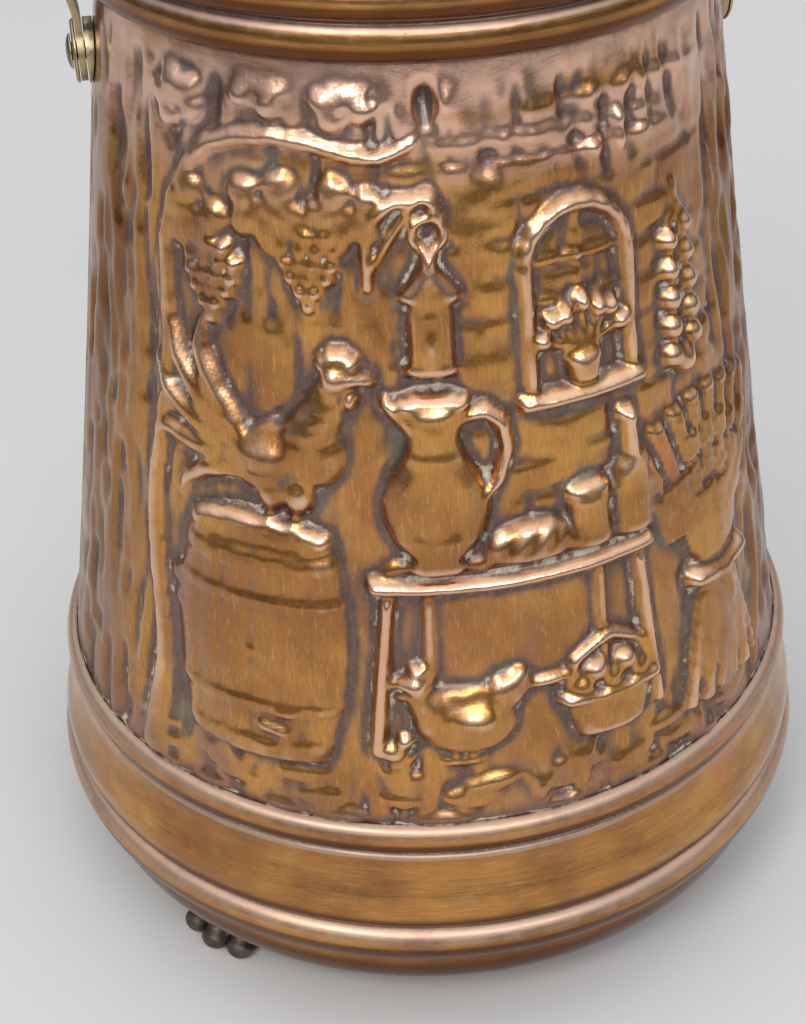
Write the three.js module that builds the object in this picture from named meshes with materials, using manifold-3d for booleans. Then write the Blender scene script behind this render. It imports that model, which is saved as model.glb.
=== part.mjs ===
// Coal scuttle: a tapering copper bucket on three cast paw feet, with a beaded base
// ring, a rolled rim and a strap bail that carries a turned wooden grip.
//
// Millimetres, +Z up. The origin is on the floor, under the middle of the bucket.
// The ears and the bail's hinge lie along X, and the embossed front faces -Y.

import * as THREE from 'three';
import { mergeVertices } from 'three/addons/utils/BufferGeometryUtils.js';
import Module from 'manifold-3d';

const wasm = await Module();
wasm.setup();

// ---------------------------------------------------------------- driving dimensions

const SHEET = 1.2;                 // copper sheet thickness
const GAP = 0.3;                   // clearance between touching pieces
const ROUND_STEPS = 40;            // facets round the bucket
const FINE_STEPS = 80;             // facets round the faces that lie on each other
const SMALL_STEPS = 16;            // facets round rivets, bolts and washers

const WALL = {
  footRadius: 120, footZ: 84.5,    // crease between the wall and the base ring
  rimRadius: 86.3, rimZ: 307.3,    // crease between the wall and the rim collar
  hollow: 0.75,                    // how far the wall dips inward half way up
  tuckBelow: 5.5, tuckAbove: 8.5,  // plain edges hidden by the ring and the collar
};
const LAP = { halfAngle: 6, joggleStart: 9, joggleEnd: 18 };   // degrees about +X and -X

const RING = {
  topRadius: 121.9,                // edge of the upper bead, round the wall
  beadRadius: 124, beadZ: 79.6, creaseRadius: 120.9, creaseZ: 74,
  band: [[122.2, 72.6], [122.6, 69], [124.7, 62.8], [127, 56.8], [127.6, 52.2], [127, 48.6]],
  lowerCreaseRadius: 124.9, lowerCreaseZ: 46.8,
  lowerBeadRadius: 129.5, lowerBeadZ: 41.2, lipRadius: 125.7, lipZ: 33.2,
};
const PAN = {
  wallRadius: 124, topZ: 43.2, seamZ: 33, flatRadius: 107.5, underZ: 13.8,
  belly: [[115, 15.4], [120.8, 18.8], [123.5, 25.6]],
};
const RIM = {
  skirtRadius: 88.1, beadRadius: 91.2, beadZ: 312.4, grooveRadius: 88.9, grooveZ: 317.5,
  rollCentreRadius: 87.5, rollCentreZ: 323.2, rollRadius: 5.3, rollStart: -75, rollEnd: 248,
  wireRadius: 3.7,
};

// The embossed motifs: which one, how far round from the middle of its sheet and how far
// up from the base crease it stands, its size, and 1 or -1 for the way that it faces.
const RELIEF = {
  girth: 103,                      // radius at which places round the wall are measured
  front: { columns: 62, rows: 34 }, rear: { columns: 40, rows: 24 },
  inside: { columns: 32, rows: 16, share: 0.8 },   // the inner face follows, more plainly
  calmBelow: [-0.5, 2.5], calmAbove: [3, 12], calmRound: [11, 19], calmSeam: [14, 20],
  blur: 1.2,                       // how softly the motifs' edges fall to the ground
  spareColumns: 12,                // facets on the half that is cut away
};
const FRONT_MOTIFS = [
  ['vine', 0, 0, 1, 1], ['grapes', -79, 152, 1, 1], ['grapes', -48, 160, 0.95, 1],
  ['lantern', -14, 142, 1, 1], ['archedWindow', 30, 133, 1, 1], ['onions', 67, 126, 1, 1],
  ['table', 8, 79, 1, 1], ['pitcher', -14, 84.5, 1, 1], ['loaf', 12, 85, 1, 1],
  ['mug', 29, 84.5, 1, 1], ['bottle', 43, 84, 0.95, 1], ['basket', 32, 23, 1, 1],
  ['hen', -8, 22, 1.05, -1], ['cask', -64, 20, 1, 1], ['rooster', -57, 95, 0.98, 1],
  ['sheaf', 74, 16, 1, 1],
];
const REAR_MOTIFS = [
  ['tree', 4, 18, 1, 1], ['archedWindow', -58, 126, 1, 1], ['bench', 58, 56, 1, 1],
  ['skep', 58, 58, 1, 1], ['basket', 58, 22, 0.8, 1], ['sheaf', -70, 16, 0.98, 1],
  ['hen', -34, 20, 1, 1],
];

const FOOT = {
  azimuths: { left: -140, right: -20, rear: 100 },   // degrees, three feet a third of a turn apart
  boltRadius: 98, height: 13.5,
  pawCentre: 103, pawSize: [12, 13.5, 9.5], pawZ: 5.5,
  toeCentre: 111, toeSize: [8, 5.8, 7], toeZ: 4.4, toePitch: 10.2, toeSetBack: 1.8,
  ankleRadius: 11, ankleZ: 8,
};
const BOLT = { shankRadius: 2.5, holeRadius: 2.9, headRadius: 5.5, headHeight: 3, depth: 10 };
const WASHER = { radius: 8, thickness: 1.2 };

const PIVOT = {
  z: 286, shankRadius: 2.5, holeRadius: 2.9, headRadius: 5, headHeight: 1.6,
  innerFace: 83.4, innerHeadHeight: 2.2,
};
const EAR = {
  bossRadius: 9, bossFace: 91.1, rosetteRadius: 8.8, rosetteThickness: 1.1,
  plateRadius: 10, plateThickness: 1.5,
};
const BAIL = {
  thickness: 1.9, eyeRadius: 8.5, eyeFace: 91.4, armFace: 93.5, joggleFrom: 296, joggleTo: 307,
  armHalfWidth: 6, cornerRadius: 36, barZ: 428, barRadius: 3.5, barHalfLength: 60, neckHalfWidth: 5,
};
const GRIP = {
  halfLength: 52, endRadius: 9.2, waistRadius: 10.4, bellyRadius: 13.5, boreRadius: 4,
  spigotRadius: 7, spigotLength: 6,
};
const FERRULE = { radius: 8.9, innerRadius: 7.3, capThickness: 1.4 };

// ---------------------------------------------------------------- materials

const finish = (color, metalness, roughness) =>
  new THREE.MeshStandardMaterial({ color, metalness, roughness });
const COPPER = finish(0x9c6a3c, 0.9, 0.4);
const TINNED = finish(0x8a6a4a, 0.9, 0.55);
const IRON = finish(0x3b3a3c, 0.85, 0.55);
const BRASS = finish(0xa9905a, 0.9, 0.35);
const WOOD = finish(0x3c2415, 0, 0.45);

// ---------------------------------------------------------------- geometry helpers

const degrees = (angle) => (angle * Math.PI) / 180;

// Turns a geometry into a closed solid: shared corners merged, slivers dropped, faces out.
function toSolid(geometry) {
  const bare = geometry.clone();
  for (const name of Object.keys(bare.attributes)) {
    if (name !== 'position') bare.deleteAttribute(name);
  }
  const merged = mergeVertices(bare, 1e-4);
  const corners = merged.index.array;
  const faces = [];
  for (let i = 0; i < corners.length; i += 3) {
    const [a, b, c] = [corners[i], corners[i + 1], corners[i + 2]];
    if (a !== b && b !== c && c !== a) faces.push(a, b, c);
  }
  const points = merged.attributes.position.array;
  if (signedVolume(points, faces) < 0) faces.reverse();
  const mesh = new wasm.Mesh({
    numProp: 3,
    vertProperties: new Float32Array(points),
    triVerts: new Uint32Array(faces),
  });
  return new wasm.Manifold(mesh);
}

function signedVolume(points, faces) {
  const a = new THREE.Vector3();
  const b = new THREE.Vector3();
  const c = new THREE.Vector3();
  let volume = 0;
  for (let i = 0; i < faces.length; i += 3) {
    a.fromArray(points, faces[i] * 3);
    b.fromArray(points, faces[i + 1] * 3);
    c.fromArray(points, faces[i + 2] * 3);
    volume += a.dot(b.cross(c)) / 6;
  }
  return volume;
}

function toGeometry(solid) {
  const mesh = solid.getMesh();
  const geometry = new THREE.BufferGeometry();
  geometry.setAttribute('position', new THREE.BufferAttribute(mesh.vertProperties, 3));
  geometry.setIndex(new THREE.BufferAttribute(mesh.triVerts, 1));
  geometry.computeVertexNormals();
  return geometry;
}

// Revolves an outline of [radius, height] points round +Z.
function revolve(outline, steps = ROUND_STEPS) {
  const points = outline.map(([radius, height]) => new THREE.Vector2(radius, height));
  const onAxis = points[0].x === 0 && points[points.length - 1].x === 0;
  if (!onAxis) points.push(points[0].clone());
  return toSolid(new THREE.LatheGeometry(points, steps).rotateX(Math.PI / 2));
}

// Revolves an outline of [radius, distance] points round +X.
function revolveAlongX(outline, steps = SMALL_STEPS) {
  return revolve(outline, steps).rotate([0, 90, 0]);
}

function arc(centreRadius, centreZ, radius, from, to, steps) {
  return Array.from({ length: steps + 1 }, (_, i) => {
    const angle = degrees(from + ((to - from) * i) / steps);
    return [centreRadius + radius * Math.cos(angle), centreZ + radius * Math.sin(angle)];
  });
}

function curve(points, steps) {
  const spline = new THREE.SplineCurve(points.map(([x, y]) => new THREE.Vector2(x, y)));
  return spline.getPoints(steps).map((point) => [point.x, point.y]);
}

// Gives a line of sheet metal its thickness, on the left of its direction of travel.
function sheetSection(line, thickness = SHEET) {
  const points = line.map(([x, y]) => new THREE.Vector2(x, y));
  const normals = [];
  for (let i = 0; i + 1 < points.length; i += 1) {
    const along = points[i + 1].clone().sub(points[i]).normalize();
    normals.push(new THREE.Vector2(-along.y, along.x));
  }
  const inner = points.map((point, i) => {
    const before = normals[Math.max(i - 1, 0)];
    const after = normals[Math.min(i, normals.length - 1)];
    const middle = before.clone().add(after).normalize();
    const reach = thickness / Math.max(middle.dot(after), 0.6);
    return [Math.max(point.x + middle.x * reach, 0), point.y + middle.y * reach];
  });
  return [...line, ...inner.reverse()];
}

function extrude(outline, from, to) {
  const shape = new THREE.Shape(outline.map(([x, y]) => new THREE.Vector2(x, y)));
  const geometry = new THREE.ExtrudeGeometry(shape, { depth: to - from, bevelEnabled: false });
  return toSolid(geometry.translate(0, 0, from));
}

function disc(radius, from, to, steps = SMALL_STEPS) {
  return revolve([[0, from], [radius, from], [radius, to], [0, to]], steps);
}

function ellipsoid([x, y, z], centre) {
  const ball = new THREE.SphereGeometry(1, 12, 7).rotateX(Math.PI / 2).scale(x, y, z);
  return toSolid(ball.translate(...centre));
}

function piece(name, solid, material) {
  const mesh = new THREE.Mesh(toGeometry(solid), material);
  mesh.name = name;
  return mesh;
}

// ---------------------------------------------------------------- the wall

function wallRadius(z) {
  const t = (z - WALL.footZ) / (WALL.rimZ - WALL.footZ);
  return WALL.footRadius + (WALL.rimRadius - WALL.footRadius) * t - WALL.hollow * 4 * t * (1 - t);
}

function wallLine(slopes = 4) {
  const line = [[WALL.footRadius, WALL.footZ - WALL.tuckBelow]];
  for (let i = 0; i <= slopes; i += 1) {
    const z = WALL.footZ + ((WALL.rimZ - WALL.footZ) * i) / slopes;
    line.push([wallRadius(z), z]);
  }
  line.push([WALL.rimRadius, WALL.rimZ + WALL.tuckAbove]);
  return line;
}

// ---------------------------------------------------------------- embossed motifs

const ramp = THREE.MathUtils.smoothstep;

function oval(x, y, [cx, cy], [rx, ry], height) {
  const away = ((x - cx) / rx) ** 2 + ((y - cy) / ry) ** 2;
  return height * Math.sqrt(Math.max(1 - away, 0));
}

// A rod along [x, y, half width] points.
function rod(x, y, points, height) {
  let best = 0;
  for (let i = 0; i + 1 < points.length; i += 1) {
    const [x0, y0, w0] = points[i];
    const [x1, y1, w1] = points[i + 1];
    const [dx, dy] = [x1 - x0, y1 - y0];
    const t = THREE.MathUtils.clamp(((x - x0) * dx + (y - y0) * dy) / (dx * dx + dy * dy), 0, 1);
    const width = w0 + (w1 - w0) * t;
    const away = Math.hypot(x - x0 - t * dx, y - y0 - t * dy) / width;
    best = Math.max(best, Math.sqrt(Math.max(1 - away * away, 0)));
  }
  return height * best;
}

function plate(x, y, [left, right], [low, high], height) {
  const inside = Math.min(x - left, right - x, y - low, high - y);
  return height * ramp(inside, -0.5, 1.5);
}

// An upright turned body from [level, half width] pairs.
function vessel(x, y, profile, height) {
  const above = profile.findIndex(([level]) => level >= y);
  if (above < 1) return 0;
  const [[y0, w0], [y1, w1]] = [profile[above - 1], profile[above]];
  const width = w0 + ((w1 - w0) * (y - y0)) / (y1 - y0);
  return height * Math.sqrt(Math.max(1 - (x / width) ** 2, 0));
}

const SHEAF = [[-0.5, 20], [22, 15], [44, 9.5], [60, 16], [74, 22], [104, 26]];
const CASK = [[-0.5, 22], [9, 24.6], [22, 27], [36, 28], [50, 27], [63, 24.6], [77, 20]];
const PITCHER = [[-0.5, 9], [4.5, 7.2], [9, 11.6], [18, 15], [27, 13], [35, 8.4], [41, 7.2], [51, 10]];
const BOTTLE = [[-0.5, 6.6], [14, 7.4], [21, 6], [26, 3.2], [40, 3]];
const ARCH = [[-15.5, 0], ...arc(0, 34, 15.5, 180, 0, 10), [15.5, 0]].map(([x, y]) => [x, y, 2.8]);
const SKEP = [[-0.5, 20], [8, 20.5], [18, 18.5], [27, 14], [33, 8], [38, 2.5]];
const LANTERN = [[-0.5, 7.4], [20, 6.4], [20.6, 8.6], [28, 3.8], [34, 2.2]];
const VINE = [[-99, 8, 3.4], [-96, 46, 3.2], [-101, 90, 3], [-95, 134, 3], [-97, 172, 2.8],
  [-84, 196, 2.6], [-58, 203, 2.4], [-30, 199, 2]];

const MOTIFS = {
  cask: (x, y) => vessel(x, y, CASK, 5.4),
  rooster: (x, y) => Math.max(
    oval(x, y, [0, 21], [17, 11], 5), oval(x, y, [9, 24], [10.5, 10.5], 5.8),
    oval(x, y, [-2.5, 21.5], [12, 6.8], 6.6), oval(x, y, [2, 11], [8, 6.5], 4.8),
    rod(x, y, [[8, 27, 8.6], [13, 37, 6.2], [15.5, 45, 4.6]], 5.9),
    oval(x, y, [16.6, 49], [5.4, 6.4], 6), rod(x, y, [[20, 47.6, 2.6], [25, 46, 1.6]], 5),
    rod(x, y, [[-12, 25, 4], [-22, 38, 4], [-28, 52, 2.6]], 4.4),
    rod(x, y, [[-12, 21, 4], [-28, 29, 4], [-41, 38, 2.6]], 4.4),
    rod(x, y, [[-13, 17, 4], [-27, 18, 3.4], [-41, 18, 2.4]], 4.4),
  ),
  hen: (x, y) => Math.max(
    oval(x, y, [-11, 20], [6.5, 8.5], 4.2), oval(x, y, [0, 12.5], [14.5, 9.5], 5),
    oval(x, y, [-2, 13.5], [9, 5.6], 6.2), rod(x, y, [[8, 15, 6.6], [12.5, 24, 4.2]], 5.4),
  ),
  pitcher: (x, y) => Math.max(
    vessel(x, y, PITCHER, 6), rod(x, y, [[-5, 44, 4.4], [-12, 50, 2.2]], 5),
    rod(x, y, [[7, 45, 2.6], [13, 47, 2.6], [18.5, 42, 2.6], [18.5, 31, 2.6], [12, 20, 2.4]], 3.8),
  ),
  mug: (x, y) => Math.max(
    vessel(x, y, [[-0.5, 7.6], [9, 6.8], [19, 7.2]], 4.6),
    rod(x, y, [[7, 14, 2.2], [11.5, 9, 2.2], [7, 4, 2.2]], 3.2),
  ),
  bottle: (x, y) => vessel(x, y, BOTTLE, 4.8),
  loaf: (x, y) => (y < -0.5 ? 0 : oval(x, y, [0, 3.5], [14, 8.5], 5)),
  table: (x, y) => Math.max(
    plate(x, y, [-43, 43], [-1.6, 3.8], 4.6), plate(x, y, [-39, 39], [3, 9], 2),
    rod(x, y, [[-37, -2, 3], [-44, -54, 3]], 4), rod(x, y, [[37, -2, 3], [44, -54, 3]], 4),
    rod(x, y, [[-36, -34, 2.4], [36, -34, 2.4]], 2.6),
  ),
  basket: (x, y) => Math.max(
    vessel(x, y, [[-0.5, 11], [15, 15]], 5), oval(x, y, [0, 18], [13, 7.5], 4.6),
    rod(x, y, [[-14, 14, 2.2], [-11, 26, 2.2], [0, 32, 2.2], [11, 26, 2.2], [14, 14, 2.2]], 3),
  ),
  sheaf: (x, y) => Math.max(
    vessel(x, y, SHEAF, 4.8) * ramp(-y, -106, -94),
    rod(x, y, [[-11, 42, 3.4], [0, 40.4, 3.6], [11, 43, 3.4]], 6.2),
  ),
  archedWindow: (x, y) => Math.max(
    rod(x, y, ARCH, 2.7),
    plate(x, y, [-20, 20], [-5, 0.5], 4), vessel(x, y, [[0, 4.2], [10, 6.4]], 4.2),
    oval(x, y, [0, 21], [12, 6], 3.4),
  ),
  lantern: (x, y) => Math.max(
    vessel(x, y, LANTERN, 4.8), oval(x, y, [0, 38], [5, 5], 3),
    rod(x, y, [[-15, 26, 2.2], [-9, 38, 2], [-3, 46, 2]], 2.6),
    rod(x, y, [[-15, 40, 2], [-9, 46, 2], [3, 45, 2]], 3),
  ),
  onions: (x, y) => Math.max(
    oval(x, y, [0, 10], [9, 12], 4), oval(x, y, [0, 28], [8, 14], 3.6),
    rod(x, y, [[0, 36, 2.6], [0, 52, 2]], 2.6),
  ),
  grapes: (x, y) => oval(x, y, [0, 11], [9.5, 13.5], 3.6),
  vine: (x, y) => rod(x, y, VINE, 3.2),
  tree: (x, y) => Math.max(
    rod(x, y, [[-2, 0, 15], [0, 14, 10.5], [1, 60, 9], [-2, 100, 7], [-6, 130, 5]], 4.8),
    rod(x, y, [[1, 86, 6], [16, 110, 4.2], [30, 128, 3]], 4.4),
    rod(x, y, [[-3, 96, 5], [-20, 116, 3.8], [-34, 124, 3]], 4.2),
    oval(x, y, [0, 142], [50, 27], 4.4),
  ),
  bench: (x, y) => Math.max(
    plate(x, y, [-27, 27], [-3, 2], 4.4),
    plate(x, y, [-24.4, -19.6], [-34, -2], 3.8), plate(x, y, [19.6, 24.4], [-34, -2], 3.8),
  ),
  skep: (x, y) => vessel(x, y, SKEP, 5.4),
};

// How proud the sheet stands at an angle from its middle and at a height.
function reliefHeight(motifs, turn, z) {
  const v = z - WALL.footZ;
  const u = degrees(turn) * RELIEF.girth;
  const stretch = wallRadius(THREE.MathUtils.clamp(z, WALL.footZ, WALL.rimZ)) / RELIEF.girth;
  const top = WALL.rimZ - WALL.footZ;
  const fromSeam = 90 - Math.abs(turn);
  const fromPivot = Math.hypot(degrees(fromSeam) * 90, z - PIVOT.z);
  const calm = ramp(v, ...RELIEF.calmBelow) * ramp(top - v, ...RELIEF.calmAbove)
    * ramp(fromPivot, ...RELIEF.calmRound) * ramp(fromSeam, ...RELIEF.calmSeam);
  if (calm === 0) return 0;
  let sum = 0;
  for (const [du, dv] of [[0, 0], [1, 0], [-1, 0], [0, 1], [0, -1]]) {
    const heights = motifs.map(([name, atU, atV, size, facing]) => MOTIFS[name](
      ((u + du * RELIEF.blur - atU) * stretch * facing) / size,
      (v + dv * RELIEF.blur - atV) / size,
    ) * Math.sqrt(size));
    sum += Math.max(...heights) / 5;
  }
  return sum * calm;
}

// ---------------------------------------------------------------- the two sheets of the wall

// A wedge of space that takes away everything on one side of the two seams.
function sideWedge(side) {
  const reach = 200;
  const edge = [reach * Math.cos(degrees(LAP.halfAngle)), reach * Math.sin(degrees(LAP.halfAngle))];
  const outline = [[0, 0], edge, [reach, reach * 1.5], [-reach, reach * 1.5], [-edge[0], edge[1]]];
  return extrude(outline.map(([x, y]) => [x, y * side]), -10, 400);
}

// The rear sheet steps inward near the seams, so that it lies under the front sheet.
function joggle(solid) {
  return solid.warp((vertex) => {
    const radius = Math.hypot(vertex[0], vertex[1]);
    if (radius < 1) return;
    const fromSeam = THREE.MathUtils.radToDeg(Math.asin(Math.abs(vertex[1]) / radius));
    const step = 1 - THREE.MathUtils.smoothstep(fromSeam, LAP.joggleStart + 0.5, LAP.joggleEnd - 0.5);
    const scale = (radius - step * (SHEET + GAP)) / radius;
    vertex[0] *= scale;
    vertex[1] *= scale;
  });
}

function pivotHole() {
  const reach = 130;
  const outline = [[0, -reach], [PIVOT.holeRadius, -reach], [PIVOT.holeRadius, reach], [0, reach]];
  return revolveAlongX(outline).translate([0, 0, PIVOT.z]);
}

// Everything inside the wall's outer face, moved out by a given distance.
function insideWall(offset, slopes = 4, steps = FINE_STEPS) {
  const line = wallLine(slopes).map(([radius, z]) => [radius + offset, z]);
  return revolve([[0, line[0][1]], ...line, [0, line[line.length - 1][1]]], steps);
}

// The same with motifs raised on the half that faces -Y, where the facets are finer.
function embossed(offset, { columns, rows }, heightAt) {
  const fine = (180 * columns) / (columns + RELIEF.spareColumns);
  const halfSheet = 90 + LAP.halfAngle;
  return insideWall(offset, rows, columns + RELIEF.spareColumns).warp((vertex) => {
    const radius = Math.hypot(vertex[0], vertex[1]);
    if (radius < 1) return;
    const place = THREE.MathUtils.radToDeg(Math.atan2(vertex[0], -vertex[1]));
    const size = Math.abs(place);
    const turn = Math.sign(place) * (size <= fine
      ? (size * halfSheet) / fine
      : halfSheet + ((size - fine) * (180 - halfSheet)) / (180 - fine));
    const reach = radius + heightAt(turn, vertex[2]);
    vertex[0] = reach * Math.sin(degrees(turn));
    vertex[1] = -reach * Math.cos(degrees(turn));
  });
}

// A sheet's solid: its embossed outer face less an inner face that never comes near it.
function embossedRing(motifs, facets) {
  const { columns, rows, share } = RELIEF.inside;
  const columnWidth = (180 + 2 * LAP.halfAngle) / columns;
  const rowHeight = (WALL.rimZ - WALL.footZ) / rows;
  const chord = wallRadius(WALL.footZ) * (1 - Math.cos(degrees(columnWidth / 2)));
  const steps = [-1, -0.5, 0, 0.5, 1];
  const insideHeight = (turn, z) => share * Math.min(...steps.flatMap((across) =>
    steps.map((up) => reliefHeight(motifs, turn + across * columnWidth, z + up * rowHeight))));
  return embossed(0, facets, (turn, z) => reliefHeight(motifs, turn, z))
    .subtract(embossed(chord - SHEET, RELIEF.inside, insideHeight));
}

const bodyFront = embossedRing(FRONT_MOTIFS, RELIEF.front).subtract(sideWedge(1)).subtract(pivotHole());
const bodyRear = joggle(embossedRing(REAR_MOTIFS, RELIEF.rear).rotate([0, 0, 180]))
  .subtract(sideWedge(-1)).subtract(pivotHole());

// ---------------------------------------------------------------- rim collar and its wire

// Arc of a bead from one edge through its widest point to the next crease.
function bead(from, widest, to, steps) {
  return curve([from, [(from[0] + widest[0] * 2) / 3, (from[1] * 2 + widest[1]) / 3], widest,
    [(to[0] + widest[0] * 2) / 3, (to[1] * 2 + widest[1]) / 3], to], steps);
}

function rimLine() {
  return [
    ...bead([RIM.skirtRadius, WALL.rimZ], [RIM.beadRadius, RIM.beadZ], [RIM.grooveRadius, RIM.grooveZ], 4),
    ...arc(RIM.rollCentreRadius, RIM.rollCentreZ, RIM.rollRadius, RIM.rollStart, RIM.rollEnd, 9),
  ];
}

const rimCollar = revolve(sheetSection(rimLine()));
const rimWire = revolve(arc(RIM.rollCentreRadius, RIM.rollCentreZ, RIM.wireRadius, 22.5, 337.5, 7));

// ---------------------------------------------------------------- base ring and bottom pan

function ringLine() {
  return [
    ...bead([RING.lipRadius, RING.lipZ], [RING.lowerBeadRadius, RING.lowerBeadZ],
      [RING.lowerCreaseRadius, RING.lowerCreaseZ], 6),
    ...[...RING.band].reverse(),
    ...bead([RING.creaseRadius, RING.creaseZ], [RING.beadRadius, RING.beadZ],
      [RING.topRadius, WALL.footZ], 4),
  ];
}

function panLine() {
  const belly = curve([[PAN.flatRadius, PAN.underZ], ...PAN.belly, [PAN.wallRadius, PAN.seamZ]], 6);
  return [[0, PAN.underZ], ...belly, [PAN.wallRadius, PAN.topZ]];
}

const baseRing = revolve(sheetSection(ringLine()));
const boltHoles = Object.values(FOOT.azimuths).map((azimuth) =>
  disc(BOLT.holeRadius, 0, 40).translate([FOOT.boltRadius, 0, 0]).rotate([0, 0, azimuth]));
const bottomPan = boltHoles.reduce((pan, hole) => pan.subtract(hole), revolve(sheetSection(panLine())));

// ---------------------------------------------------------------- feet and their fastenings

// A cast paw pointing along +X, with three toes, a flat sole and a pad under the pan.
function paw() {
  let foot = ellipsoid(FOOT.pawSize, [FOOT.pawCentre, 0, FOOT.pawZ]);
  for (const place of [-1, 0, 1]) {
    const centre = [FOOT.toeCentre - Math.abs(place) * FOOT.toeSetBack, place * FOOT.toePitch, FOOT.toeZ];
    foot = foot.add(ellipsoid(FOOT.toeSize, centre));
  }
  foot = foot.add(disc(FOOT.ankleRadius, FOOT.ankleZ, FOOT.height).translate([FOOT.boltRadius, 0, 0]));
  foot = foot.add(disc(FOOT.ankleRadius - 2, 0, FOOT.ankleZ + 1).translate([FOOT.boltRadius, 0, 0]));
  const slab = disc(60, 0, FOOT.height, 4).translate([FOOT.boltRadius, 0, 0]);
  const hole = disc(BOLT.holeRadius, FOOT.height - BOLT.depth, 40).translate([FOOT.boltRadius, 0, 0]);
  return foot.intersect(slab).subtract(hole);
}

const floorZ = PAN.underZ + SHEET;

function footBolt() {
  const headZ = floorZ + WASHER.thickness + 2 * GAP;
  const shankEnd = FOOT.height - BOLT.depth + GAP;
  const dome = arc(0, headZ, BOLT.headRadius, 0, 90, 5)
    .map(([radius, z]) => [radius, headZ + ((z - headZ) * BOLT.headHeight) / BOLT.headRadius]);
  dome[dome.length - 1][0] = 0;
  const outline = [[0, shankEnd], [BOLT.shankRadius, shankEnd], [BOLT.shankRadius, headZ], ...dome];
  return revolve(outline, SMALL_STEPS).translate([FOOT.boltRadius, 0, 0]);
}

function footWasher() {
  const from = floorZ + GAP;
  const to = from + WASHER.thickness;
  const section = [
    [BOLT.holeRadius, from], [WASHER.radius, from], [WASHER.radius, to], [BOLT.holeRadius, to],
  ];
  return revolve(section, SMALL_STEPS).translate([FOOT.boltRadius, 0, 0]);
}

// ---------------------------------------------------------------- ears

function alongX(radius, from, to) {
  return revolveAlongX([[0, from], [radius, from], [radius, to], [0, to]]).translate([0, 0, PIVOT.z]);
}

const doubleWall = -(2 * SHEET + GAP);
const rivetBore = alongX(PIVOT.holeRadius, 60, 120);
const earBoss = alongX(EAR.bossRadius, 80, EAR.bossFace).subtract(insideWall(GAP)).subtract(rivetBore);
const backingPlate = alongX(EAR.plateRadius, 60, 100)
  .intersect(insideWall(doubleWall - GAP))
  .subtract(insideWall(doubleWall - GAP - EAR.plateThickness))
  .subtract(rivetBore);

const rosetteFace = BAIL.eyeFace + BAIL.thickness + GAP;
const rosetteEnd = rosetteFace + EAR.rosetteThickness;

function earRosette() {
  const outline = [
    [PIVOT.holeRadius, rosetteFace], [EAR.rosetteRadius, rosetteFace], [EAR.rosetteRadius, rosetteEnd - 0.6],
    [EAR.rosetteRadius - 1.2, rosetteEnd], [PIVOT.holeRadius, rosetteEnd],
  ];
  return revolveAlongX(outline).translate([0, 0, PIVOT.z]);
}

function pivotRivet() {
  const innerEnd = PIVOT.innerFace - PIVOT.innerHeadHeight;
  const outerFace = rosetteEnd + GAP;
  const dome = arc(0, outerFace, PIVOT.headRadius, 0, 90, 5)
    .map(([radius, x]) => [radius, outerFace + ((x - outerFace) * PIVOT.headHeight) / PIVOT.headRadius]);
  dome[dome.length - 1][0] = 0;
  const outline = [
    [0, innerEnd], [PIVOT.headRadius - 1, innerEnd], [PIVOT.headRadius, PIVOT.innerFace - 0.8],
    [PIVOT.headRadius, PIVOT.innerFace], [PIVOT.shankRadius, PIVOT.innerFace],
    [PIVOT.shankRadius, outerFace], ...dome,
  ];
  return revolveAlongX(outline).translate([0, 0, PIVOT.z]);
}

// ---------------------------------------------------------------- bail

// The strap's right arm as a ribbon in the XZ plane, seen from the front.
function armRibbon() {
  const corner = arc(BAIL.armFace - BAIL.cornerRadius, BAIL.barZ - BAIL.cornerRadius,
    BAIL.cornerRadius, 0, 90, 9).map(([x, z]) => [x, z - BAIL.thickness / 2]);
  const line = [
    [BAIL.eyeFace, PIVOT.z - BAIL.eyeRadius - 1], [BAIL.eyeFace, BAIL.joggleFrom],
    [BAIL.armFace, BAIL.joggleTo], ...corner, [BAIL.barHalfLength - 4, BAIL.barZ - BAIL.thickness / 2],
  ];
  return sheetSection(line.reverse(), BAIL.thickness);
}

// The strap's outline seen from the side: a round eye, parallel edges and a narrow neck.
function armSide() {
  const shoulderZ = PIVOT.z + Math.sqrt(BAIL.eyeRadius ** 2 - BAIL.armHalfWidth ** 2);
  const startAngle = THREE.MathUtils.radToDeg(Math.acos(BAIL.armHalfWidth / BAIL.eyeRadius));
  const eye = arc(0, PIVOT.z, BAIL.eyeRadius, startAngle, -180 - startAngle, 16);
  const neckZ = BAIL.barZ - BAIL.cornerRadius / 2;
  return [
    [BAIL.armHalfWidth, shoulderZ + 2], ...eye, [-BAIL.armHalfWidth, neckZ],
    [-BAIL.neckHalfWidth, BAIL.barZ + 6], [BAIL.neckHalfWidth, BAIL.barZ + 6], [BAIL.armHalfWidth, neckZ],
  ];
}

function bail() {
  const width = 2 * BAIL.eyeRadius;
  const ribbon = extrude(armRibbon(), -width, width).rotate([90, 0, 0]);
  const side = extrude(armSide(), 40, 110).rotate([90, 0, 90]);
  const rightArm = ribbon.intersect(side).subtract(rivetBore);
  const leftArm = rightArm.mirror([1, 0, 0]);
  const bar = revolveAlongX([
    [0, -BAIL.barHalfLength], [BAIL.barRadius, -BAIL.barHalfLength],
    [BAIL.barRadius, BAIL.barHalfLength], [0, BAIL.barHalfLength],
  ]).translate([0, 0, BAIL.barZ]);
  return rightArm.add(leftArm).add(bar);
}

// ---------------------------------------------------------------- grip and ferrules

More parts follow.
